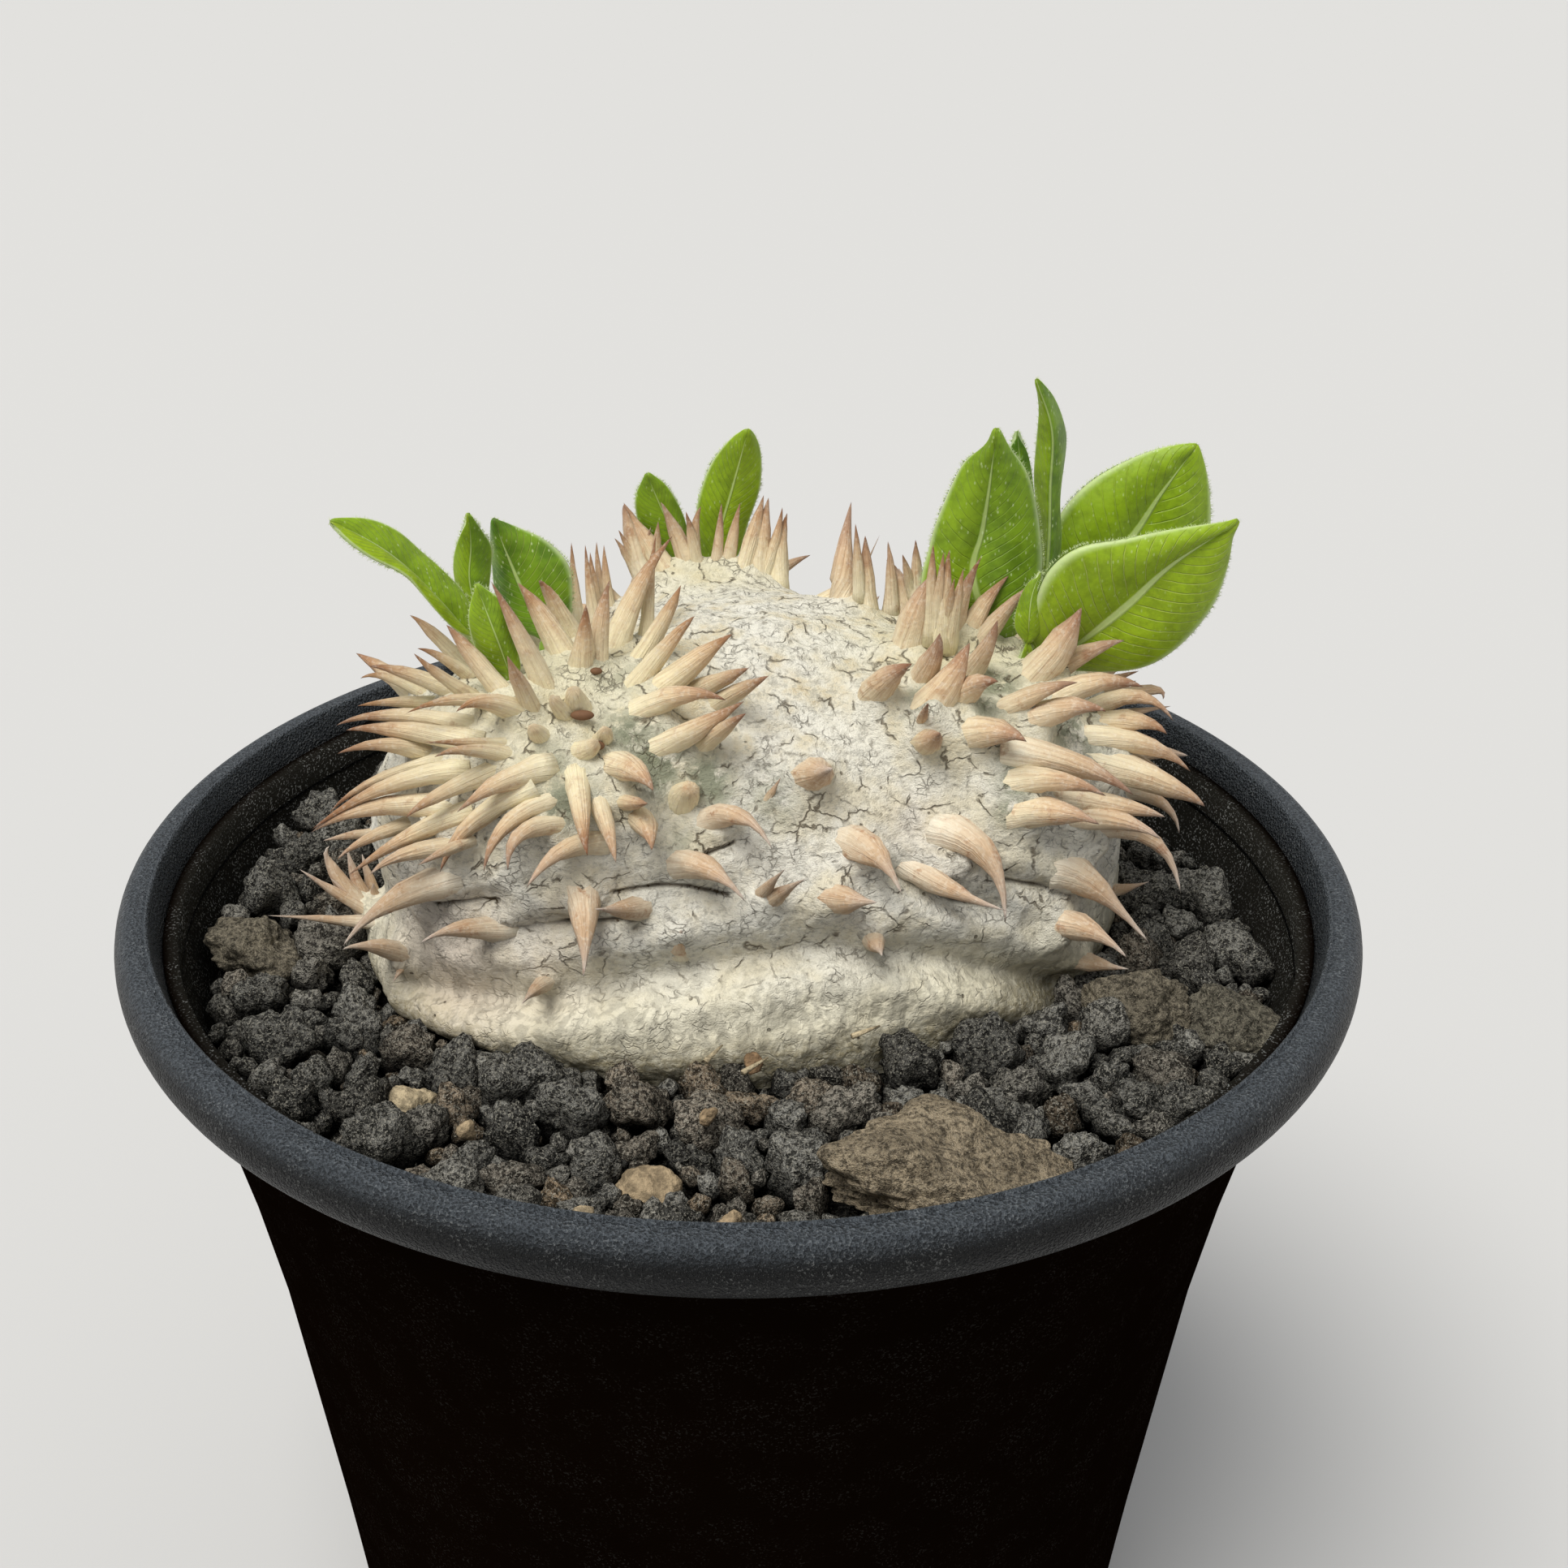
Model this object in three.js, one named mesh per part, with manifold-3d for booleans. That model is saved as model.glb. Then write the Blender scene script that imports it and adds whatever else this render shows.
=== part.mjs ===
// Potted Pachypodium brevicaule leucoxanthum: a squat pale caudex with spiny heads and a few leaves,
// standing in black lava grit in a black plastic nursery pot.
// Millimetres, +Z up, origin at the centre of the pot's flat base.
import * as THREE from "three";
import { mergeVertices } from "three/addons/utils/BufferGeometryUtils.js";
import Module from "manifold-3d";

const wasm = await Module();
wasm.setup();

// Driving dimensions of the pot
const LIP_DIAMETER = 105;
const POT_HEIGHT = 92;
const POT_BASE_RADIUS = 35.5;
const WALL = 1.2;
const FLOOR = 1.8;
const LIP_HALF_HEIGHT = 2.4;
const LIP_HALF_WIDTH = 1.4;
const LIP_BELOW_TOP = 2.6;
const LIP_Z = POT_HEIGHT - LIP_BELOW_TOP;
const LIP_RADIUS = LIP_DIAMETER / 2;
const POT_SIDES = 40;
const LIP_STEPS = 5;
const DRAIN_HOLE_RADIUS = 3.6;
const DRAIN_RING_RADIUS = 22;
const DRAIN_HOLES = 6;
const DRAIN_SIDES = 12;
const FOOT_BEVEL = 0.8;
const INNER_CORNER = 0.6;

// The wall's outer radius at depths below the middle of the lip
const WALL_DEPTHS = [3, 10, 20, 32, 60];
const WALL_RADII = [48.6, 46.6, 44.3, 42.2, 38.7];

// Grit: the fill's flat top, the grains fused to it and the gap kept to what it touches
const GAP = 0.35;
const FILL_TOP = LIP_Z - 8.2;
const GRAIN_SPACING = 6.5;
const GRAIN_FILL = 0.87;
const GRAIN_RADIUS = [2.5, 4];
const GRAIN_LIFT = [0.2, 1.5];
const GRAIN_WIDTH = [0.75, 1];
const GRAIN_HEIGHT = [0.65, 0.95];
const GRAIN_EDGE = 1.5;
const GRAIN_BURIED = 0.4;

// Caudex
const HOLE_GAP = 1.15;
const HOLE_DETAIL = 7;
const CAUDEX_DETAIL = 9;
const CAUDEX_HEART = new THREE.Vector3(1, 6, LIP_Z - 7);
const LOBE_BLEND = 2.2;
const NORMAL_STEP = 0.15;
const TINY = 1e-6;
const LEAST_OVERLAP = 1e-3;
const SPINE_SIDES = 4;
const SPINE_RINGS = 2;
const SPINE_REACH = 8.2;
const SPINE_SUNK = 1.6;
const FOOT_SHARE = 0.75;
const TAPER = 1.6;
const TIP_GAPS = 2;

// Spines placed by pixels: how strongly the bark's facing brings a tip forward, the least and greatest
// share of that, how far a tip stays off the bark and how far the middle bows, against the length
const FACING_GAIN = 1.3;
const FACING_RANGE = [-0.7, 1];
const TIP_FORWARD = 0.8;
const TIP_CLEAR = 0.22;
const TIP_STEP = 0.25;
const TIP_STEPS_REACH = 12;
const MIDDLE_FORWARD = 0.6;
const BOW = 0.08;

// Leaves
const LEAF_THICKNESS = 0.7;
const LEAF_SUNK = 1;
const LEAF_ROWS = 6;
const LEAF_COLUMNS = 4;
const LEAF_STALK = 0.16;
const LEAF_TIP = 0.1;
const LEAST_STALK = 1;
const STALK_STEPS = 80;
const STALK_STEP = 0.1;

// The oval of a blade: how far its widest place is moved, how full and how wide it is, and its base's share
const OVAL_SHIFT = 1.15;
const OVAL_FULLNESS = 0.85;
const OVAL_WIDTH = 0.94;
const OVAL_BASE = 0.78;

// Sight lines: the view in which the spines, leaves and stones were placed by pixels
const FOCAL_PIXELS = 2683.3;
const CENTRE_PIXEL = [909.8, 966];
const EYE = new THREE.Vector3(0, -163.8, LIP_Z + 94.3);
const PITCH = THREE.MathUtils.degToRad(27.4);
const FORWARD = new THREE.Vector3(0, Math.cos(PITCH), -Math.sin(PITCH));
const UPWARD = new THREE.Vector3(0, Math.sin(PITCH), Math.cos(PITCH));

// Materials
const plastic = new THREE.MeshStandardMaterial({ color: 0x17181b, roughness: 0.5, metalness: 0 });
const lava = new THREE.MeshStandardMaterial({ color: 0x2b2b2d, roughness: 0.95, metalness: 0 });
const bark = new THREE.MeshStandardMaterial({ color: 0xd6c9ad, roughness: 0.8, metalness: 0 });
const leafGreen = new THREE.MeshStandardMaterial({ color: 0x5f9a2c, roughness: 0.55, metalness: 0 });
const stoneGrey = new THREE.MeshStandardMaterial({ color: 0x4a4540, roughness: 0.95, metalness: 0 });
const pebbleTan = new THREE.MeshStandardMaterial({ color: 0xb09a76, roughness: 0.9, metalness: 0 });

// Lobes that the caudex has grown from: centre, half sizes and turn about the vertical in degrees
const LOBES = [
  { name: "dome", centre: [1.5, 6.5, LIP_Z - 9], half: [31, 24, 31], turn: 8 },
  { name: "left head", centre: [-16, -2.5, LIP_Z + 8], half: [14.5, 12.5, 13], turn: 0 },
  { name: "right head", centre: [20, 4, LIP_Z + 6], half: [13, 13, 13], turn: 0 },
  { name: "back head", centre: [-3, 20, LIP_Z + 10.5], half: [9.5, 8, 9.5], turn: 0 },
  { name: "base roll", centre: [0.6, 4.2, LIP_Z - 4.5], half: [33, 22.8, 7.5], turn: 19 },
];

// Folds in the bark, each as pixels along it with its depth and half width in millimetres
const FOLDS = [
  { depth: 1.5, width: 1.3, line: [503, 1212, 579, 1225, 645, 1232, 712, 1219, 795, 1202, 900, 1186,
    1022, 1165, 1087, 1176, 1156, 1180, 1233, 1199, 1309, 1214] },
  { depth: 1.3, width: 0.9, line: [533, 1118, 562, 1109, 612, 1113] },
  { depth: 1.4, width: 0.9, line: [579, 1156, 619, 1148, 705, 1138, 785, 1133] },
  { depth: 1.4, width: 0.9, line: [758, 1100, 811, 1091, 844, 1088, 897, 1103] },
  { depth: 0.8, width: 0.7, line: [831, 1071, 850, 1057, 900, 1036] },
  { depth: 1.1, width: 0.8, line: [1110, 1078, 1141, 1092, 1179, 1111, 1225, 1119] },
  { depth: 0.9, width: 0.7, line: [1240, 1086, 1279, 1092, 1328, 1096] },
];

// Folds round the back, each at a height with a wave, between two angles in degrees from +X
const BACK_FOLDS = [
  { depth: 1.5, width: 1.3, height: LIP_Z + 0.5, wave: 0.7, from: 14, to: 178 },
  { depth: 1, width: 0.9, height: LIP_Z + 5.5, wave: 0.9, from: 30, to: 92 },
  { depth: 1, width: 0.9, height: LIP_Z + 7, wave: 0.6, from: 104, to: 165 },
];
const BACK_FOLD_STEP = 12;
const BACK_FOLD_WAVES = 3;

// The raised bark beside a fold: its height against the fold's depth, and its place in half widths
const FOLD_LIP = 0.3;
const FOLD_LIP_PLACE = 2.4;

// Spines by pixels: root, an optional bend, tip, and the greatest width in pixels
const LEFT_HEAD_SPINES = [
  [560, 855, 500, 832, 455, 821, 22], [520, 858, 480, 838, 444, 836, 16],
  [585, 858, 540, 830, 510, 805, 16], [580, 838, 545, 812, 514, 799, 14], [530, 868, 440, 870, 14],
  [520, 880, 456, 878, 10], [600, 875, 560, 865, 500, 879, 18], [640, 885, 600, 866, 562, 877, 26],
  [560, 895, 480, 883, 414, 894, 18], [570, 915, 490, 900, 426, 900, 24],
  [515, 935, 475, 916, 415, 929, 22], [620, 918, 525, 915, 14], [620, 935, 575, 925, 535, 933, 18],
  [530, 945, 460, 965, 405, 1003, 16], [555, 960, 480, 973, 383, 1023, 22],
  [540, 1000, 460, 995, 383, 1026, 24], [605, 955, 540, 980, 500, 1008, 20],
  [655, 955, 610, 965, 563, 1001, 26], [455, 1028, 398, 1036, 12],
  [505, 1020, 455, 1030, 415, 1060, 18], [560, 1010, 500, 1030, 430, 1078, 28],
  [565, 1048, 500, 1052, 456, 1078, 22], [583, 1035, 545, 1052, 515, 1066, 14],
  [640, 985, 580, 1025, 542, 1075, 28], [670, 1000, 620, 1020, 596, 1075, 24],
  [690, 1028, 640, 1030, 626, 1073, 24], [730, 1050, 690, 1050, 648, 1095, 26],
  [712, 968, 716, 1010, 724, 1055, 24], [738, 990, 748, 1030, 759, 1063, 20],
  [760, 950, 785, 955, 805, 975, 32], [765, 988, 798, 990, 22], [785, 1012, 795, 1022, 803, 1048, 28],
  [840, 990, 850, 970, 24], [710, 795, 680, 745, 668, 719, 22], [712, 780, 704, 668, 18],
  [718, 760, 721, 671, 14], [728, 760, 727, 680, 14], [732, 750, 735, 667, 14],
  [734, 740, 744, 671, 14], [715, 830, 722, 745, 26], [738, 825, 742, 765, 751, 715, 24],
  [765, 800, 785, 735, 829, 660, 28], [798, 785, 808, 660, 16], [785, 820, 820, 765, 839, 721, 24],
  [785, 845, 825, 795, 856, 759, 26], [812, 855, 860, 812, 903, 781, 32],
  [855, 853, 895, 838, 923, 823, 20], [885, 868, 920, 848, 947, 833, 20],
  [798, 885, 840, 862, 895, 863, 32], [820, 918, 870, 893, 917, 864, 32],
  [865, 920, 895, 897, 919, 879, 24], [695, 815, 662, 765, 638, 718, 30],
  [668, 845, 640, 785, 612, 722, 24], [655, 875, 638, 838, 625, 808, 22],
  [625, 860, 580, 805, 550, 770, 26], [570, 812, 535, 783, 505, 758, 18],
  [578, 785, 545, 740, 520, 697, 14], [580, 770, 560, 740, 540, 715, 14],
];
const BACK_HEAD_SPINES = [
  [830, 715, 769, 621, 28], [790, 700, 775, 655, 769, 621, 20], [788, 700, 762, 653, 14],
  [782, 705, 757, 663, 12], [790, 710, 795, 680, 802, 649, 14], [808, 690, 811, 642, 12],
  [855, 715, 835, 665, 815, 622, 22], [857, 690, 845, 630, 14], [860, 715, 858, 660, 864, 624, 16],
  [882, 705, 889, 620, 14], [895, 705, 912, 619, 16], [918, 700, 941, 610, 22],
  [935, 705, 947, 613, 24], [945, 700, 964, 625, 16], [962, 708, 970, 632, 20],
  [760, 745, 733, 710, 16],
];
const CREST_SPINES = [
  [1042, 765, 1040, 700, 1049, 618, 34], [1058, 720, 1054, 645, 12], [1068, 740, 1066, 660, 20],
  [1097, 738, 1094, 667, 14], [1112, 760, 1105, 715, 1092, 690, 20], [1122, 720, 1112, 683, 12],
  [1130, 725, 1128, 665, 14],
];
const CROWN_SPINES = [
  [1146, 772, 1147, 715, 1150, 671, 14], [1152, 775, 1156, 725, 1163, 680, 14],
  [1160, 778, 1162, 725, 1170, 677, 18], [1164, 782, 1176, 712, 14], [1170, 785, 1177, 740, 1187, 701, 16],
];
const RIGHT_HEAD_SPINES = [
  [1121, 800, 1130, 750, 1146, 710, 32], [1174, 795, 1187, 742, 1206, 689, 22],
  [1188, 795, 1212, 750, 1243, 709, 26], [1206, 800, 1236, 760, 1270, 721, 24],
  [1192, 830, 1214, 797, 1229, 764, 26], [1140, 790, 1134, 758, 1133, 727, 20],
  [1130, 845, 1150, 812, 1158, 780, 30], [1138, 885, 1168, 835, 1195, 792, 42],
  [1080, 860, 1100, 838, 1124, 818, 36], [1180, 870, 1203, 847, 1230, 840, 30],
  [1132, 900, 1144, 866, 14], [1137, 912, 1158, 903, 32], [1190, 910, 1230, 898, 1265, 914, 36],
  [1235, 882, 1280, 855, 1328, 841, 30], [1265, 895, 1320, 872, 1363, 877, 34],
  [1268, 840, 1300, 790, 1328, 751, 40], [1242, 800, 1295, 772, 1321, 745, 34],
  [1285, 838, 1335, 808, 1383, 790, 30], [1330, 835, 1394, 788, 22],
  [1345, 835, 1385, 802, 1425, 779, 26], [1340, 842, 1403, 827, 18],
  [1295, 872, 1350, 848, 1409, 847, 32], [1380, 855, 1415, 852, 1433, 862, 18],
  [1395, 857, 1443, 870, 12], [1345, 890, 1398, 862, 1446, 889, 22],
  [1345, 898, 1400, 890, 1438, 905, 26], [1345, 918, 1410, 920, 1467, 951, 32],
  [1355, 945, 1430, 970, 1485, 994, 40], [1370, 937, 1415, 945, 1448, 978, 14],
  [1255, 935, 1330, 945, 1397, 980, 34], [1255, 972, 1305, 965, 1363, 981, 30],
  [1258, 1008, 1305, 995, 1355, 1016, 34], [1315, 985, 1385, 993, 1436, 1007, 28],
  [1390, 985, 1430, 990, 1453, 1028, 20], [1320, 1012, 1380, 1012, 1430, 1034, 30],
  [1345, 1035, 1415, 1035, 1455, 1102, 26],
];
const FRONT_SPINES = [
  [880, 1022, 915, 1013, 952, 1047, 30], [848, 1072, 885, 1078, 918, 1111, 32],
  [716, 1105, 718, 1150, 719, 1205, 30], [785, 1118, 733, 1120, 26],
  [1052, 1048, 1085, 1055, 1112, 1104, 34], [1172, 1045, 1215, 1065, 1239, 1139, 40],
  [1140, 1075, 1180, 1100, 1240, 1122, 26], [1315, 1080, 1355, 1095, 1418, 1165, 36],
  [1300, 1143, 1345, 1150, 1389, 1181, 30], [1322, 1180, 1391, 1194, 24], [1365, 1097, 1416, 1086, 14],
  [1020, 1105, 1081, 1112, 36], [1075, 1160, 1087, 1178, 20], [935, 1108, 968, 1070, 14],
  [945, 1112, 992, 1083, 20], [1000, 956, 1026, 947, 40], [548, 1092, 480, 1112, 421, 1168, 34],
  [500, 1180, 455, 1171, 422, 1170, 24], [610, 1150, 560, 1146, 518, 1162, 24],
  [672, 1213, 643, 1237, 16],
];
const SHOOT_SPINES = [
  [402, 1118, 369, 1071, 16], [430, 1120, 412, 1080, 406, 1042, 20], [420, 1120, 407, 1082, 14],
  [440, 1120, 428, 1046, 20], [455, 1110, 446, 1052, 16], [465, 1115, 460, 1088, 14],
];

// Leaves: base, middle and tip of the midrib as pixel column, pixel row and depth along Y,
// the blade's width, how far it turns out of the picture and how far its halves fold up, in degrees
const LEAVES = [
  {
    name: "leaf_left_low", width: 7, turn: 52, fold: 32,
    rib: [[592, 802, -0.6], [500, 705, -2], [405, 642, -3]],
  },
  {
    name: "leaf_left_bud", width: 4.2, turn: 40, fold: 40,
    rib: [[606, 800, 3], [580, 715, 3.6], [577, 631, 3]],
  },
  {
    name: "leaf_left_broad", width: 7.2, turn: 10, fold: 18,
    rib: [[672, 790, 6.5], [655, 712, 7], [608, 637, 6.5]],
  },
  {
    name: "leaf_left_front", width: 4.6, turn: 10, fold: 24,
    rib: [[636, 850, -4], [612, 785, -4.5], [587, 718, -4]],
  },
  {
    name: "leaf_back_left", width: 4.3, turn: 15, fold: 25,
    rib: [[845, 700, 20], [822, 635, 20.5], [796, 582, 20]],
  },
  {
    name: "leaf_back_tall", width: 6.2, turn: 8, fold: 20,
    rib: [[872, 712, 21], [893, 625, 22], [921, 528, 21]],
  },
  {
    name: "leaf_right_broad", width: 10.4, turn: 10, fold: 20,
    rib: [[1228, 800, 6.5], [1207, 665, 8], [1228, 527, 6.5]],
  },
  {
    name: "leaf_right_behind", width: 3.6, turn: 20, fold: 30,
    rib: [[1252, 770, 12.5], [1262, 650, 13.5], [1253, 531, 13.5]],
  },
  {
    name: "leaf_right_edge", width: 8, turn: 64, fold: 25,
    rib: [[1272, 795, 8.5], [1290, 640, 10], [1277, 466, 8.5]],
  },
  {
    name: "leaf_right_far", width: 11.2, turn: 10, fold: 12,
    rib: [[1300, 797, 12.5], [1392, 652, 14.5], [1476, 547, 14.5]],
  },
  {
    name: "leaf_right_near", width: 11.2, turn: -12, fold: 10,
    rib: [[1280, 826, 5], [1388, 738, 3], [1527, 641, 2.5]],
  },
  {
    name: "leaf_right_inner", width: 4.2, turn: 20, fold: 20,
    rib: [[1266, 800, 3], [1268, 755, 2.5], [1282, 705, 3.5]],
  },
];

// Stones that lie on the grit: pixel of the middle, half sizes and turn about the vertical
const STONES = [
  { name: "stone_front", pixel: [1158, 1448], half: [9.4, 5.2, 4.4], turn: 8, seed: 11, material: stoneGrey },
  { name: "stone_left", pixel: [318, 1176], half: [4.3, 3.8, 3.2], turn: -20, seed: 12, material: stoneGrey },
  {
    name: "stone_right", pixel: [1408, 1238], half: [4.4, 3.7, 3.4], turn: 12, seed: 13,
    material: stoneGrey,
  },
  {
    name: "stone_far_right", pixel: [1516, 1260], half: [3.6, 3.1, 2.8], turn: 40, seed: 14,
    material: stoneGrey,
  },
  { name: "pebble_cream", pixel: [508, 1365], half: [2.1, 1.9, 1.9], turn: 0, seed: 15, material: pebbleTan },
  { name: "pebble_tan", pixel: [800, 1465], half: [2.4, 1.8, 1.8], turn: 30, seed: 16, material: pebbleTan },
];

// Spines that reach lower than this above the fill leave room for themselves in the grit
const LOW_SPINE = 13;

// Seeded random numbers from 0 to 1
function seeded(seed) {
  let state = seed >>> 0;
  return () => {
    state = (state + 0x6d2b79f5) >>> 0;
    let mixed = Math.imul(state ^ (state >>> 15), state | 1);
    mixed ^= mixed + Math.imul(mixed ^ (mixed >>> 7), mixed | 61);
    return ((mixed ^ (mixed >>> 14)) >>> 0) / 4294967296;
  };
}

// A geometry with positions only and its shared vertices merged
function bareGeometry(geometry) {
  const bare = geometry.clone();
  bare.deleteAttribute("normal");
  bare.deleteAttribute("uv");
  return mergeVertices(bare, 1e-4);
}

// A closed three.js geometry as a solid, and a solid as a geometry
function toSolid(geometry) {
  const merged = bareGeometry(geometry);
  return new wasm.Manifold(new wasm.Mesh({
    numProp: 3,
    vertProperties: new Float32Array(merged.attributes.position.array),
    triVerts: new Uint32Array(merged.index.array),
  }));
}

function toGeometry(solid) {
  const mesh = solid.getMesh();
  const geometry = new THREE.BufferGeometry();
  geometry.setAttribute("position", new THREE.BufferAttribute(new Float32Array(mesh.vertProperties), 3));
  geometry.setIndex(new THREE.BufferAttribute(new Uint32Array(mesh.triVerts), 1));
  geometry.computeVertexNormals();
  return geometry;
}

// The largest of the bodies that a cut or join leaves, so that no loose scrap or sealed hollow stays
function largestBody(solid) {
  const bodies = solid.decompose();
  return bodies.reduce((best, body) => (body.volume() > best.volume() ? body : best));
}

function fuse(solids) {
  return wasm.Manifold.union(solids);
}

// A profile of radii and heights turned about the Z axis
function turned(profile) {
  const points = profile.map(([radius, height]) => new THREE.Vector2(radius, height));
  return new THREE.LatheGeometry(points, POT_SIDES).rotateX(Math.PI / 2);
}

// Moves every vertex of a geometry to the place that a function gives for it
function reshape(geometry, place) {
  const position = geometry.attributes.position;
  const point = new THREE.Vector3();
  for (let i = 0; i < position.count; i += 1) {
    point.fromBufferAttribute(position, i);
    const moved = place(point);
    position.setXYZ(i, moved.x, moved.y, moved.z);
  }
  return geometry;
}

// The direction in which the view sees a pixel
function sightLine(column, row) {
  return FORWARD.clone()
    .add(new THREE.Vector3((column - CENTRE_PIXEL[0]) / FOCAL_PIXELS, 0, 0))
    .addScaledVector(UPWARD, (CENTRE_PIXEL[1] - row) / FOCAL_PIXELS)
    .normalize();
}

// The point of a pixel's sight line on the upright plane at depth y
function atDepth([column, row, y]) {
  const line = sightLine(column, row);
  return EYE.clone().addScaledVector(line, (y - EYE.y) / line.y);
}

// The point of a pixel's sight line at a height
function atHeight([column, row], z) {
  const line = sightLine(column, row);
  return EYE.clone().addScaledVector(line, (z - EYE.z) / line.z);
}

// Rough distance from a point to the caudex, negative inside
function lobeDistance(point, lobe) {
  const turn = THREE.MathUtils.degToRad(lobe.turn);
  const x = point.x - lobe.centre[0];
  const y = point.y - lobe.centre[1];
  const z = point.z - lobe.centre[2];
  const local = [x * Math.cos(turn) + y * Math.sin(turn), y * Math.cos(turn) - x * Math.sin(turn), z];
  const near = Math.hypot(...local.map((value, i) => value / lobe.half[i]));
  const steep = Math.hypot(...local.map((value, i) => value / lobe.half[i] ** 2));
  return near * (near - 1) / Math.max(steep, TINY);
}

function caudexDistance(point) {
  const distances = LOBES.map((lobe) => lobeDistance(point, lobe));
  const nearest = Math.min(...distances);
  const sum = distances.reduce((total, value) => total + Math.exp((nearest - value) / LOBE_BLEND), 0);
  return nearest - LOBE_BLEND * Math.log(sum);
}

function caudexNormal(point) {
  const slope = ["x", "y", "z"].map((axis) => {
    const ahead = point.clone();
    const behind = point.clone();
    ahead[axis] += NORMAL_STEP;
    behind[axis] -= NORMAL_STEP;
    return caudexDistance(ahead) - caudexDistance(behind);
  });
  return new THREE.Vector3(...slope).normalize();
}

// The place where a pixel's sight line meets the caudex, or the nearest place on it where it misses
const SIGHT_START = 100;
const SIGHT_END = 330;
const SIGHT_STEPS = 90;
const SIGHT_STRIDE = 0.7;
const SIGHT_LEAST_STEP = 0.02;
const SIGHT_TOUCH = 0.01;
const SIGHT_PULLS = 4;

function onCaudex(column, row) {
  const line = sightLine(column, row);
  const point = EYE.clone().addScaledVector(line, SIGHT_START);
  let nearest = point.clone();
  let least = Infinity;
  for (let i = 0; i < SIGHT_STEPS; i += 1) {
    const distance = caudexDistance(point);
    if (Math.abs(distance) < least) {
      least = Math.abs(distance);
      nearest = point.clone();
    }
    if (distance < SIGHT_TOUCH) break;
    point.addScaledVector(line, Math.max(distance * SIGHT_STRIDE, SIGHT_LEAST_STEP));
    if (point.distanceTo(EYE) > SIGHT_END) break;
  }
  for (let i = 0; i < SIGHT_PULLS; i += 1) {
    nearest.addScaledVector(caudexNormal(nearest), -caudexDistance(nearest));
  }
  return nearest;
}

// A point pulled along a direction, to and fro, until it lies on the caudex
const PULL_START = 30;
const PULLS = 12;
const PULL_SHARE = 0.8;

function pulledToCaudex(point, out) {
  point.addScaledVector(out, PULL_START);
  for (let i = 0; i < PULLS; i += 1) point.addScaledVector(out, -caudexDistance(point) * PULL_SHARE);
  return point;
}

// Folds as lines of points on the caudex
function frontFold({ line }) {
  const points = [];
  for (let i = 0; i < line.length; i += 2) points.push(onCaudex(line[i], line[i + 1]));
  return points;
}

function backFold({ height, wave, from, to }) {
  const points = [];
  for (let degrees = from; degrees <= to; degrees += BACK_FOLD_STEP) {
    const angle = THREE.MathUtils.degToRad(degrees);
    const out = new THREE.Vector3(Math.cos(angle), Math.sin(angle), 0);
    const level = height + wave * Math.sin(BACK_FOLD_WAVES * angle);
    points.push(pulledToCaudex(new THREE.Vector3(CAUDEX_HEART.x, CAUDEX_HEART.y, level), out));
  }
  return points;
}

const foldLines = [
  ...FOLDS.map((fold) => ({ ...fold, points: frontFold(fold) })),
  ...BACK_FOLDS.map((fold) => ({ ...fold, points: backFold(fold) })),
];

// How deep the folds are at a point, with the bark a little raised along both sides
function foldDepth(point) {
  let depth = 0;
  for (const fold of foldLines) {
    let distance = Infinity;
    for (let i = 1; i < fold.points.length; i += 1) {
      const nearest = new THREE.Line3(fold.points[i - 1], fold.points[i])
        .closestPointToPoint(point, true, new THREE.Vector3());
      distance = Math.min(distance, nearest.distanceTo(point));
    }
    const across = distance / fold.width;
    const lip = FOLD_LIP * Math.exp(-((across - FOLD_LIP_PLACE) ** 2));
    depth += fold.depth * (Math.exp(-across * across) - lip);
  }
  return depth;
}

// The caudex without its spines, or a shape without folds that is larger by a gap
const INNERMOST = 5;
const OUTERMOST = 60;
const HALVINGS = 26;

function caudexBody(detail, gap) {
  return toSolid(reshape(new THREE.IcosahedronGeometry(1, detail), (direction) => {
    const out = direction.clone().normalize();
    let inner = INNERMOST;
    let outer = OUTERMOST;
    for (let i = 0; i < HALVINGS; i += 1) {
      const middle = (inner + outer) / 2;
      const inside = caudexDistance(CAUDEX_HEART.clone().addScaledVector(out, middle)) < 0;
      if (inside) inner = middle;
      else outer = middle;
    }
    const surface = CAUDEX_HEART.clone().addScaledVector(out, inner);
    const depth = foldDepth(surface);
    return surface.addScaledVector(caudexNormal(surface), gap > 0 ? gap - Math.min(depth, 0) : -depth);
  }));
}

// A spine with a swollen foot and a fine tip, bent through its middle, and grown by a gap if asked
function spineSolid({ root, bend, tip, radius }, gap = 0) {
  const along = tip.clone().sub(root).normalize();
  const foot = root.clone().addScaledVector(along, -SPINE_SUNK);
  const end = tip.clone().addScaledVector(along, gap * TIP_GAPS);
  const path = new THREE.QuadraticBezierCurve3(foot, bend, end);
  const side = new THREE.Vector3().crossVectors(along, UPWARD).normalize();
  const front = new THREE.Vector3().crossVectors(side, along).normalize();
  const swell = (t) => Math.min(1, FOOT_SHARE + t) * (1 - t ** TAPER) * radius + gap;
  return toSolid(reshape(new THREE.ConeGeometry(1, 1, SPINE_SIDES, SPINE_RINGS), (point) => {
    const t = THREE.MathUtils.clamp(point.y + 0.5, 0, 1);
    const centre = path.getPoint(t);
    const round = Math.hypot(point.x, point.z);
    if (round < TINY) return centre;
    const reach = swell(t) / round;
    return centre.addScaledVector(side, point.x * reach).addScaledVector(front, point.z * reach);
  }));
}

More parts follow.
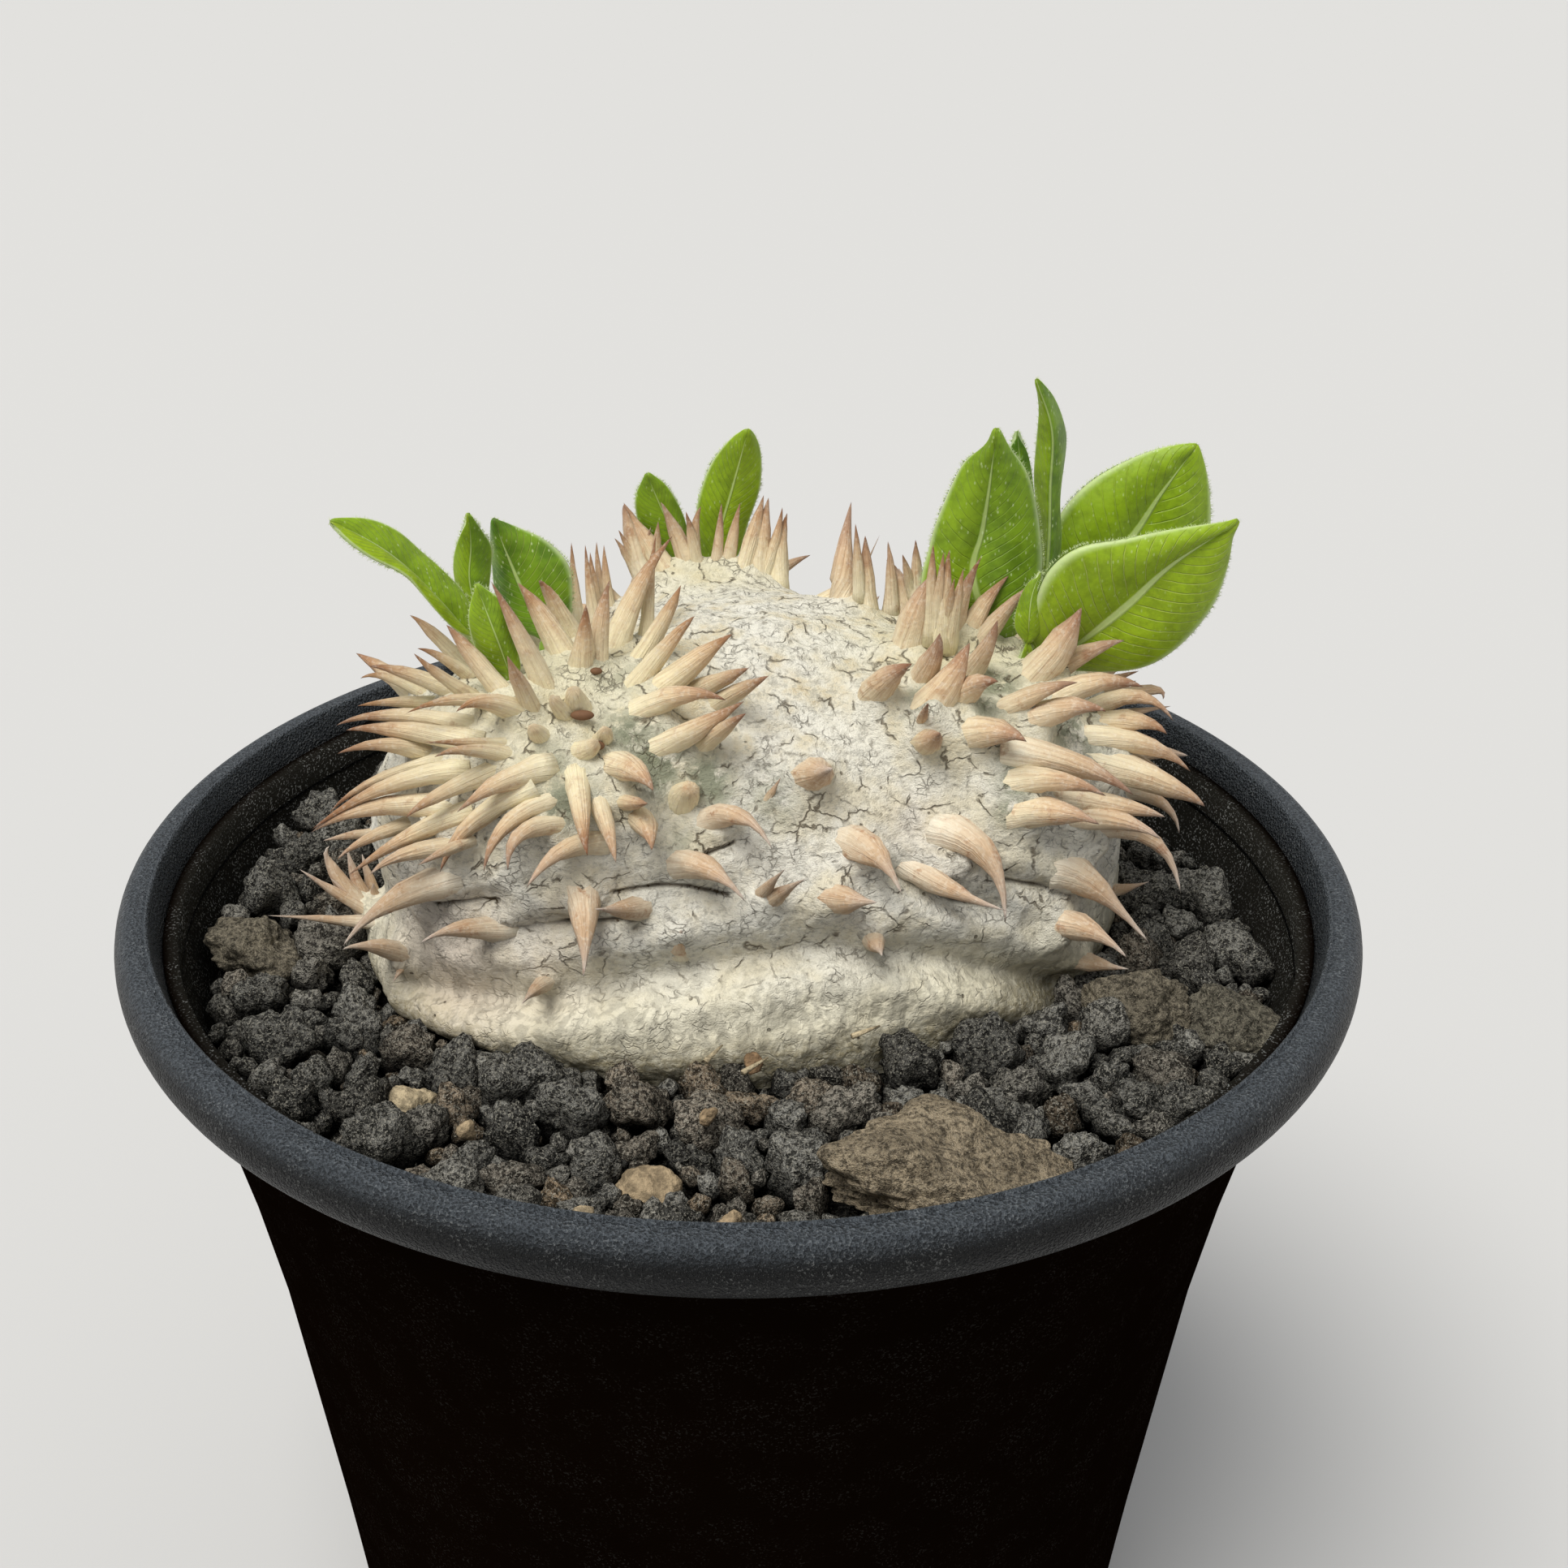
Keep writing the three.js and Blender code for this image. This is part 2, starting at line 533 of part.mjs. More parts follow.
// A spine from its pixels: the root lies on the caudex, and the tip stands out towards the side
// that the bark faces, as far as a spine of usual length reaches
function spineFromPixels(row, depth) {
  const [column0, row0] = row;
  const width = row[row.length - 1];
  const [column1, row1] = row.slice(-3);
  const root = depth === undefined ? onCaudex(column0, row0) : atDepth([column0, row0, depth]);
  const scale = root.distanceTo(EYE) / FOCAL_PIXELS;
  const normal = caudexNormal(root);
  const facing = -normal.dot(FORWARD);
  const flat = Math.hypot(column1 - column0, row1 - row0) * scale;
  const spare = Math.sqrt(Math.max(SPINE_REACH ** 2 - flat ** 2, 0));
  const rise = THREE.MathUtils.clamp(facing * FACING_GAIN, ...FACING_RANGE) * spare * TIP_FORWARD;
  const range = root.clone().sub(EYE).dot(FORWARD);
  const place = (column, line, towards) => {
    const sight = sightLine(column, line);
    return EYE.clone().addScaledVector(sight, (range - towards) / sight.dot(FORWARD));
  };
  let towards = rise;
  let tip = place(column1, row1, towards);
  const clear = TIP_CLEAR * flat;
  while (caudexDistance(tip) < clear && towards < rise + TIP_STEPS_REACH) {
    towards += TIP_STEP;
    tip = place(column1, row1, towards);
  }
  let bend = root.clone().lerp(tip, 0.5);
  if (row.length === 7) {
    const middle = place(row[2], row[3], towards * MIDDLE_FORWARD);
    bend = middle.multiplyScalar(2).sub(root.clone().lerp(tip, 0.5));
  }
  bend.addScaledVector(normal, BOW * flat);
  return { root, bend, tip, radius: width * scale * 0.5 };
}

// Spines on the sides that the view does not reach: spread evenly over the bark by the golden angle,
// close together round the heads and few elsewhere, each leaning away from its head
const HEADS = [
  { centre: new THREE.Vector3(-15, -3, LIP_Z + 19), reach: 17 },
  { centre: new THREE.Vector3(20, 5, LIP_Z + 19), reach: 17 },
  { centre: new THREE.Vector3(-3, 22, LIP_Z + 18), reach: 12 },
];
const HIDDEN_TRIES = 520;
const HIDDEN_SPARSE = 0.1;
const HIDDEN_EDGE = 0.12;
const HIDDEN_LOWEST = LIP_Z - 1;
const HIDDEN_LEAN = 0.7;
const HIDDEN_DROOP = new THREE.Vector3(0, 0, -0.4);
const HIDDEN_JITTER = 0.6;
const HIDDEN_LENGTH = [5.2, 8.2];
const HIDDEN_RADIUS = [0.72, 1.12];
const GOLDEN_ANGLE = Math.PI * (3 - Math.sqrt(5));

function hiddenSpines() {
  const random = seeded(5);
  const spines = [];
  for (let i = 0; i < HIDDEN_TRIES; i += 1) {
    const z = 1 - (2 * i + 1) / HIDDEN_TRIES;
    const angle = i * GOLDEN_ANGLE;
    const flat = Math.sqrt(1 - z * z);
    const out = new THREE.Vector3(flat * Math.cos(angle), flat * Math.sin(angle), z);
    const root = pulledToCaudex(CAUDEX_HEART.clone(), out);
    const normal = caudexNormal(root);
    const draw = [random(), random(), random(), random()];
    const seen = normal.dot(root.clone().sub(EYE).normalize()) < HIDDEN_EDGE;
    if (seen || root.z < HIDDEN_LOWEST) continue;
    const head = HEADS.find(({ centre, reach }) => centre.distanceTo(root) < reach);
    if (!head && draw[3] > HIDDEN_SPARSE) continue;
    const away = head ? root.clone().sub(head.centre).normalize() : HIDDEN_DROOP;
    const jitter = new THREE.Vector3(draw[0], draw[1], draw[2]).subScalar(0.5).multiplyScalar(HIDDEN_JITTER);
    const along = normal.clone().addScaledVector(away, HIDDEN_LEAN).add(jitter).normalize();
    const length = THREE.MathUtils.lerp(...HIDDEN_LENGTH, draw[1]);
    const tip = root.clone().addScaledVector(along, length);
    const bend = root.clone().lerp(tip, 0.5).addScaledVector(normal, BOW * length);
    spines.push({ root, bend, tip, radius: THREE.MathUtils.lerp(...HIDDEN_RADIUS, draw[2]) });
  }
  return spines;
}

// The midrib of a leaf, carried on from its base until it is sunk in the caudex
function leafPath(rib) {
  const points = rib.map(atDepth);
  const foot = points[0].clone();
  const down = points[0].clone().sub(points[1]).normalize();
  for (let i = 0; i < STALK_STEPS && caudexDistance(foot) > -LEAF_SUNK; i += 1) {
    foot.addScaledVector(down, STALK_STEP).addScaledVector(caudexNormal(foot), -STALK_STEP);
  }
  const stalk = foot.distanceTo(points[0]);
  const stalked = stalk > LEAST_STALK;
  const path = new THREE.CatmullRomCurve3(stalked ? [foot, ...points] : points);
  return { path, base: stalked ? stalk / path.getLength() : 0 };
}

// The width of a blade along its midrib, against its greatest width
function leafWidth(t) {
  if (t <= 0) return LEAF_STALK;
  const oval = Math.sin(Math.PI * Math.min(t ** OVAL_SHIFT, 1)) ** OVAL_FULLNESS;
  return LEAF_STALK + OVAL_WIDTH * oval * THREE.MathUtils.lerp(OVAL_BASE, 1, t);
}

// A leaf: a blade along its midrib with both faces split into the same triangles
function leafBlade({ rib, width, turn, fold }, gap = 0) {
  const { path, base } = leafPath(rib);
  const lift = THREE.MathUtils.degToRad(fold);
  const angle = THREE.MathUtils.degToRad(turn);
  const rows = [];
  for (let i = 0; i <= LEAF_ROWS; i += 1) {
    const t = i / LEAF_ROWS;
    const centre = path.getPointAt(t);
    const along = path.getTangentAt(t);
    const across = new THREE.Vector3().crossVectors(along, FORWARD).normalize().applyAxisAngle(along, angle);
    const face = new THREE.Vector3().crossVectors(across, along).normalize();
    const narrow = t === 1 ? LEAF_TIP : 1;
    const half = (width / 2) * leafWidth((t - base) / (1 - base)) * narrow + gap;
    for (let j = 0; j <= LEAF_COLUMNS; j += 1) {
      const offset = half * ((2 * j) / LEAF_COLUMNS - 1);
      const point = centre.clone().addScaledVector(across, offset * Math.cos(lift));
      rows.push({ point: point.addScaledVector(face, -Math.abs(offset) * Math.sin(lift)), face });
    }
  }
  return closedSheet(rows, LEAF_COLUMNS + 1, LEAF_THICKNESS / 2 + gap);
}

// A sheet of points in rows as a solid with a thickness to each side
function closedSheet(rows, stride, reach) {
  const count = rows.length;
  const vertices = [];
  for (const side of [reach, -reach]) {
    for (const { point, face } of rows) vertices.push(...point.clone().addScaledVector(face, side).toArray());
  }
  const triangles = [];
  const quad = (a, b, c, d) => triangles.push(a, b, c, a, c, d);
  const last = count - stride;
  for (let start = 0; start < last; start += stride) {
    for (let a = start; a < start + stride - 1; a += 1) {
      quad(a, a + 1, a + 1 + stride, a + stride);
      const under = count + a;
      triangles.push(under, under + 1 + stride, under + 1, under, under + stride, under + 1 + stride);
    }
    const right = start + stride - 1;
    quad(start, start + stride, count + start + stride, count + start);
    quad(right, count + right, count + right + stride, right + stride);
  }
  for (let a = 0; a < stride - 1; a += 1) {
    quad(a, count + a, count + a + 1, a + 1);
    quad(last + a, last + a + 1, count + last + a + 1, count + last + a);
  }
  const geometry = new THREE.BufferGeometry();
  geometry.setAttribute("position", new THREE.Float32BufferAttribute(vertices, 3));
  geometry.setIndex(triangles);
  return toSolid(geometry);
}

// A spine that would cross a leaf is bent clear of it, towards the view or away, or left out
const CLEARING_SHIFTS = [0, -1, -2, -3, 1, -4, 2, 3, 4];
const leafRoom = fuse(LEAVES.map((leaf) => leafBlade(leaf, GAP)));

function bentClear(spine) {
  for (const shift of CLEARING_SHIFTS) {
    const tip = spine.tip.clone().addScaledVector(FORWARD, shift);
    const bend = spine.bend.clone().addScaledVector(FORWARD, shift * MIDDLE_FORWARD);
    const moved = { ...spine, tip, bend };
    if (spineSolid(moved).intersect(leafRoom).volume() < LEAST_OVERLAP) return [moved];
  }
  return [];
}

// Depths of the spines whose roots the view does not reach
const BACK_HEAD_DEPTH = 21;
const CREST_DEPTH = 12;
const CROWN_DEPTH = 3.5;
const spines = [
  ...LEFT_HEAD_SPINES.map((row) => spineFromPixels(row)),
  ...RIGHT_HEAD_SPINES.map((row) => spineFromPixels(row)),
  ...FRONT_SPINES.map((row) => spineFromPixels(row)),
  ...SHOOT_SPINES.map((row) => spineFromPixels(row)),
  ...BACK_HEAD_SPINES.map((row) => spineFromPixels(row, BACK_HEAD_DEPTH)),
  ...CREST_SPINES.map((row) => spineFromPixels(row, CREST_DEPTH)),
  ...CROWN_SPINES.map((row) => spineFromPixels(row, CROWN_DEPTH)),
  ...hiddenSpines(),
].flatMap(bentClear);

const body = caudexBody(CAUDEX_DETAIL, 0);
const caudex = largestBody(fuse([body, ...spines.map((spine) => spineSolid(spine))]));

// Each leaf ends where it meets the bark, with a gap to it
const seat = caudexBody(CAUDEX_DETAIL, GAP);

function leafSolid(leaf) {
  return largestBody(leafBlade(leaf).subtract(seat));
}

// Pot: a thin wall that flares towards a rolled lip, on a flat base with drain holes
function wallRadius(depth) {
  const last = WALL_DEPTHS.length - 1;
  if (depth >= WALL_DEPTHS[last]) {
    const rest = (depth - WALL_DEPTHS[last]) / (LIP_Z - WALL_DEPTHS[last]);
    return THREE.MathUtils.lerp(WALL_RADII[last], POT_BASE_RADIUS, rest);
  }
  const next = Math.max(1, WALL_DEPTHS.findIndex((value) => value > depth));
  const part = (depth - WALL_DEPTHS[next - 1]) / (WALL_DEPTHS[next] - WALL_DEPTHS[next - 1]);
  return THREE.MathUtils.lerp(WALL_RADII[next - 1], WALL_RADII[next], part);
}

function potSolid() {
  const profile = [[0, 0], [POT_BASE_RADIUS - FOOT_BEVEL, 0], [POT_BASE_RADIUS, FOOT_BEVEL]];
  for (const depth of [...WALL_DEPTHS].reverse()) profile.push([wallRadius(depth), LIP_Z - depth]);
  const rollCentre = LIP_RADIUS - LIP_HALF_WIDTH;
  for (let i = 0; i <= LIP_STEPS; i += 1) {
    const angle = Math.PI * (i / LIP_STEPS - 0.5);
    profile.push([rollCentre + LIP_HALF_WIDTH * Math.cos(angle), LIP_Z + LIP_HALF_HEIGHT * Math.sin(angle)]);
  }
  profile.push([rollCentre - LIP_HALF_WIDTH, POT_HEIGHT]);
  for (const depth of WALL_DEPTHS) profile.push([wallRadius(depth) - WALL, LIP_Z - depth]);
  profile.push([POT_BASE_RADIUS - WALL - INNER_CORNER, FLOOR], [0, FLOOR]);
  const drill = new THREE.CylinderGeometry(DRAIN_HOLE_RADIUS, DRAIN_HOLE_RADIUS, FLOOR * 4, DRAIN_SIDES);
  drill.rotateX(Math.PI / 2);
  const drills = [toSolid(drill)];
  for (let i = 0; i < DRAIN_HOLES; i += 1) {
    const angle = (2 * Math.PI * i) / DRAIN_HOLES;
    const place = [DRAIN_RING_RADIUS * Math.cos(angle), DRAIN_RING_RADIUS * Math.sin(angle), 0];
    drills.push(toSolid(drill.clone().translate(...place)));
  }
  return toSolid(turned(profile)).subtract(fuse(drills));
}

// A rough stone: a round or blocky start with each corner moved by a seeded draw
const BLOCK_SIDE = 1.35;
const CORNER_REACH = [0.82, 1.12];
const STONE_TILT = 0.7;
const STONE_SUNK = 0.75;
const STONE_GAP = 0.55;
const roundStart = bareGeometry(new THREE.IcosahedronGeometry(1, 1));
const blockStart = bareGeometry(new THREE.BoxGeometry(BLOCK_SIDE, BLOCK_SIDE, BLOCK_SIDE));

function stoneGeometry(start, centre, half, turn, random) {
  const rough = reshape(start.clone(), (point) => {
    const reach = THREE.MathUtils.lerp(...CORNER_REACH, random());
    return new THREE.Vector3(point.x * half[0], point.y * half[1], point.z * half[2]).multiplyScalar(reach);
  });
  const tilt = new THREE.Euler((random() - 0.5) * STONE_TILT, (random() - 0.5) * STONE_TILT, turn);
  rough.applyMatrix4(new THREE.Matrix4().makeRotationFromEuler(tilt));
  rough.translate(centre.x, centre.y, centre.z);
  return rough;
}

function grown(geometry, centre, gap) {
  return reshape(geometry.clone(), (point) => {
    const out = point.clone().sub(centre);
    return centre.clone().addScaledVector(out, 1 + gap / out.length());
  });
}

const stones = STONES.map((stone) => {
  const random = seeded(stone.seed);
  const flat = atHeight(stone.pixel, FILL_TOP + stone.half[2] * STONE_SUNK);
  const turn = THREE.MathUtils.degToRad(stone.turn);
  const geometry = stoneGeometry(roundStart, flat, stone.half, turn, random);
  return { ...stone, centre: flat, geometry, solid: toSolid(geometry) };
});

// Grit: one body of grains that fills the pot, with a hole for the caudex and a bed under each stone
function gritSolid() {
  const random = seeded(2);
  const wall = (depth) => wallRadius(depth) - WALL - GAP;
  const foot = LIP_Z - FLOOR - GAP;
  const rim = wall(LIP_Z - FILL_TOP);
  const profile = [[0, FLOOR + GAP], [wall(foot) - FOOT_BEVEL, FLOOR + GAP]];
  for (const depth of WALL_DEPTHS.slice(1).reverse()) profile.push([wall(depth), LIP_Z - depth]);
  const neck = [wall(WALL_DEPTHS[0]), LIP_Z - WALL_DEPTHS[0]];
  const inside = toSolid(turned([...profile, neck, [0, POT_HEIGHT]]));
  const parts = [toSolid(turned([...profile, [rim, FILL_TOP], [0, FILL_TOP]]))];
  const count = Math.round((Math.PI * rim * rim) / (GRAIN_SPACING ** 2 * GRAIN_FILL));
  for (let i = 0; i < count; i += 1) {
    const reach = (rim - GRAIN_EDGE) * Math.sqrt((i + 0.5) / count);
    const angle = i * GOLDEN_ANGLE;
    const between = (range) => THREE.MathUtils.lerp(...range, random());
    const size = between(GRAIN_RADIUS);
    const height = FILL_TOP + between(GRAIN_LIFT);
    const centre = new THREE.Vector3(reach * Math.cos(angle), reach * Math.sin(angle), height);
    const half = [size, size * between(GRAIN_WIDTH), size * between(GRAIN_HEIGHT)];
    const grain = stoneGeometry(blockStart, centre, half, random() * Math.PI, random);
    if (caudexDistance(centre) > -size * GRAIN_BURIED) parts.push(toSolid(grain));
  }
  const low = spines.filter(({ tip, root }) => Math.min(tip.z, root.z) < FILL_TOP + LOW_SPINE);
  const cuts = [caudexBody(HOLE_DETAIL, HOLE_GAP), ...low.map((spine) => spineSolid(spine, GAP))];
  cuts.push(...stones.map(({ geometry, centre }) => toSolid(grown(geometry, centre, STONE_GAP))));
  return largestBody(fuse(parts).intersect(inside).subtract(fuse(cuts)));
}

const group = new THREE.Group();

function addNode(name, solid, material) {
  const mesh = new THREE.Mesh(toGeometry(solid), material);
  mesh.name = name;
  group.add(mesh);
}

addNode("pot", potSolid(), plastic);
addNode("grit", gritSolid(), lava);
addNode("caudex", caudex, bark);
for (const leaf of LEAVES) addNode(leaf.name, leafSolid(leaf), leafGreen);
for (const { name, solid, material } of stones) addNode(name, solid, material);

export default group;
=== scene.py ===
"""Looks of a potted Pachypodium brevicaule leucoxanthum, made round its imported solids.

Every place is in millimetres until a mesh is finished, with the origin at the centre of the pot's flat base.
"""

import math

import bmesh
import bpy
import numpy as np
from bpy.props import FloatProperty, FloatVectorProperty, PointerProperty
from bpy.types import Operator, Panel, PropertyGroup
from mathutils import Euler, Matrix, Vector, noise
from mathutils.bvhtree import BVHTree


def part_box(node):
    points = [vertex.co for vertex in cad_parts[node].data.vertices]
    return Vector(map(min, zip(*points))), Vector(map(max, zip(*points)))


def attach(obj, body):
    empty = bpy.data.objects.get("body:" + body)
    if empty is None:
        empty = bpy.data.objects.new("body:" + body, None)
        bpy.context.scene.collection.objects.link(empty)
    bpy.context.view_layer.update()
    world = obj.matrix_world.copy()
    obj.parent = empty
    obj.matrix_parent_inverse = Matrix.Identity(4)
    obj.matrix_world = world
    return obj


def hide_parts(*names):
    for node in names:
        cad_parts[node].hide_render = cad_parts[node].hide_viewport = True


bl_info = {
    "name": "Potted Caudex Plant",
    "version": (1, 0, 0),
    "blender": (4, 5, 0),
    "location": "View3D > Sidebar > Plant",
    "description": "Dresses the packed solids of a small potted caudex plant",
    "category": "Object",
}

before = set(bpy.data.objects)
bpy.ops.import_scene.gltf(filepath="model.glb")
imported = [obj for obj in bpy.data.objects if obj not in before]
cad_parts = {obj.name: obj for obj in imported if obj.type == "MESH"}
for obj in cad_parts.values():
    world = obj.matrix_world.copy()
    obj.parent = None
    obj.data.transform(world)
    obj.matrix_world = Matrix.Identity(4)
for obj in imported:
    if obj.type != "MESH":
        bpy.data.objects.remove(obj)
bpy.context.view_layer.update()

MM = 0.001

# Sizes of the pot, from the frame and as its source has them
POT_LOW, POT_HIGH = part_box("pot")
POT_HEIGHT = POT_HIGH.z / MM
LIP_RADIUS = POT_HIGH.x / MM
LIP_Z = POT_HEIGHT - 2.6
LIP_HALF_HEIGHT = 2.4
LIP_HALF_WIDTH = 1.4
POT_BASE_RADIUS = 35.5
WALL = 1.2
FLOOR = 1.8

# Corners of the pot: out and up at the base, and out and down along the raised line inside the lip
BASE_CORNER = [(-4, 0), (-1.0, 0), (-0.3, 0.25), (0, 0.9)]
LIP_LINE = [(0.42, 0.16), (0.3, 0.24), (0.18, 0.02), (0.04, 0), (-0.1, 0.14), (-0.16, 0.5)]

# The wall below the middle of the lip, the drain holes, and the height of the fill
WALL_DEPTHS = [3, 10, 20, 32, 60]
WALL_RADII = [48.6, 46.6, 44.3, 42.2, 38.7]
DRAIN_HOLE_RADIUS = 3.6
DRAIN_RING_RADIUS = 22
DRAIN_HOLES = 6
FILL_TOP = LIP_Z - 8.2

# The view of the photograph: image side, distance to the picture plane and its centre in pixels, the width of
# the sensor in millimetres, and where the eye is and looks
IMAGE_SIDE = 1932
FOCAL_PIXELS = 2683.3
CENTRE_COLUMN = 909.8
CENTRE_ROW = 966
SENSOR = 36
EYE = np.array([0, -163.8, LIP_Z + 94.3])
PITCH = math.radians(27.4)
FORWARD = np.array([0, math.cos(PITCH), -math.sin(PITCH)])
UPWARD = np.array([0, math.sin(PITCH), math.cos(PITCH)])
RIGHTWARD = np.array([1.0, 0, 0])

# Stage: half the floor's side in metres, and the way to the window
FLOOR_REACH = 8
WINDOW = (-0.3, -0.4, 1)

# Caudex: the lobes that it has grown from, with centre, half sizes and turn about the vertical
CAUDEX_HEART = np.array([1, 6, LIP_Z - 7])
LOBE_BLEND = 2.2
LOBES = [
    ((1.5, 6.5, LIP_Z - 9), (31, 24, 31), 8),
    ((-16, -2.5, LIP_Z + 8), (14.5, 12.5, 13), 0),
    ((20, 4, LIP_Z + 6), (13, 13, 13), 0),
    ((-3, 20, LIP_Z + 10.5), (9.5, 8, 9.5), 0),
    ((0.6, 4.2, LIP_Z - 4.5), (33, 22.8, 7.5), 19),
]

# Folds in the bark: depth, half width and the pixels along them, the first soft and the others with a crease
FOLDS = [
    (1.5, 1.3, [(503, 1212), (579, 1225), (645, 1232), (712, 1219), (795, 1202), (900, 1186),
                (1022, 1165), (1087, 1176), (1156, 1180), (1233, 1199), (1309, 1214)]),
    (0.7, 1.0, [(533, 1118), (562, 1109), (612, 1113)]),
    (0.8, 1.0, [(579, 1156), (619, 1148), (705, 1138), (785, 1133)]),
    (0.7, 1.0, [(758, 1100), (811, 1091), (844, 1088), (897, 1103)]),
    (0.3, 0.7, [(831, 1071), (850, 1057), (900, 1036)]),
    (0.8, 0.9, [(1110, 1078), (1141, 1092), (1179, 1111), (1225, 1119)]),
    (0.7, 0.8, [(1240, 1086), (1279, 1092), (1328, 1096)]),
]

# Folds round the back: depth, half width, height, wave, and the angles from +X where they start and end
BACK_FOLDS = [
    (1.5, 1.3, LIP_Z + 0.5, 0.7, 14, 178),
    (1.0, 0.9, LIP_Z + 5.5, 0.9, 30, 92),
    (1.0, 0.9, LIP_Z + 7, 0.6, 104, 165),
]
BACK_FOLD_STEP = 12
CREASE_WIDTH = 0.16
CREASE_DEPTH = 0.35
SCAR_HEIGHT = 0.9

# Spines by pixels: root, an optional bend, tip, and the greatest width
LEFT_HEAD_SPINES = [
    [560, 855, 500, 832, 455, 821, 22], [520, 858, 480, 838, 444, 836, 16],
    [585, 858, 540, 830, 510, 805, 16], [580, 838, 545, 812, 514, 799, 14], [530, 868, 440, 870, 14],
    [520, 880, 456, 878, 10], [600, 875, 560, 865, 500, 879, 18], [640, 885, 600, 866, 562, 877, 26],
    [560, 895, 480, 883, 414, 894, 18], [570, 915, 490, 900, 426, 900, 24],
    [515, 935, 475, 916, 415, 929, 22], [620, 918, 525, 915, 14], [620, 935, 575, 925, 535, 933, 18],
    [530, 945, 460, 965, 405, 1003, 16], [555, 960, 480, 973, 383, 1023, 22],
    [540, 1000, 460, 995, 383, 1026, 24], [605, 955, 540, 980, 500, 1008, 20],
    [655, 955, 610, 965, 563, 1001, 26], [455, 1028, 398, 1036, 12],
    [505, 1020, 455, 1030, 415, 1060, 18], [560, 1010, 500, 1030, 430, 1078, 28],
    [565, 1048, 500, 1052, 456, 1078, 22], [583, 1035, 545, 1052, 515, 1066, 14],
    [640, 985, 580, 1025, 542, 1075, 28], [670, 1000, 620, 1020, 596, 1075, 24],
    [690, 1028, 640, 1030, 626, 1073, 24], [730, 1050, 690, 1050, 648, 1095, 26],
    [712, 968, 716, 1010, 724, 1055, 24], [738, 990, 748, 1030, 759, 1063, 20],
    [760, 950, 785, 955, 805, 975, 32], [765, 988, 798, 990, 22], [785, 1012, 795, 1022, 803, 1048, 28],
    [710, 795, 680, 745, 668, 719, 22], [712, 780, 704, 668, 18],
    [718, 760, 721, 671, 14], [728, 760, 727, 680, 14], [732, 750, 735, 667, 14],
    [734, 740, 744, 671, 14], [715, 830, 722, 745, 26], [738, 825, 742, 765, 751, 715, 24],
    [765, 800, 785, 735, 829, 660, 28], [798, 785, 808, 660, 16], [785, 820, 820, 765, 839, 721, 24],
    [785, 845, 825, 795, 856, 759, 26], [812, 855, 860, 812, 903, 781, 32],
    [855, 853, 895, 838, 923, 823, 20], [885, 868, 920, 848, 947, 833, 20],
    [798, 885, 840, 862, 895, 863, 32], [820, 918, 870, 893, 917, 864, 32],
    [865, 920, 895, 897, 919, 879, 24], [695, 815, 662, 765, 638, 718, 30],
    [668, 845, 640, 785, 612, 722, 24], [655, 875, 638, 838, 625, 808, 22],
    [625, 860, 580, 805, 550, 770, 26], [570, 812, 535, 783, 505, 758, 18],
    [578, 785, 545, 740, 520, 697, 14], [580, 770, 560, 740, 540, 715, 14],
]
BACK_HEAD_SPINES = [
    [830, 715, 769, 621, 28], [790, 700, 775, 655, 769, 621, 20], [788, 700, 762, 653, 14],
    [782, 705, 757, 663, 12], [790, 710, 795, 680, 802, 649, 14], [808, 690, 811, 642, 12],
    [855, 715, 835, 665, 815, 622, 22], [857, 690, 845, 630, 14], [860, 715, 858, 660, 864, 624, 16],
    [882, 705, 889, 620, 14], [895, 705, 912, 619, 16], [918, 700, 941, 610, 22],
    [935, 705, 947, 613, 24], [945, 700, 964, 625, 16], [962, 708, 970, 632, 20],
    [760, 745, 733, 710, 16],
]
CREST_SPINES = [
    [1042, 765, 1040, 700, 1049, 618, 34], [1058, 720, 1054, 645, 12], [1068, 740, 1066, 660, 20],
    [1097, 738, 1094, 667, 14], [1112, 760, 1105, 715, 1092, 690, 20], [1122, 720, 1112, 683, 12],
    [1130, 725, 1128, 665, 14],
]
CROWN_SPINES = [
    [1146, 772, 1147, 715, 1150, 671, 14], [1152, 775, 1156, 725, 1163, 680, 14],
    [1160, 778, 1162, 725, 1170, 677, 18], [1164, 782, 1176, 712, 14], [1170, 785, 1177, 740, 1187, 701, 16],
]
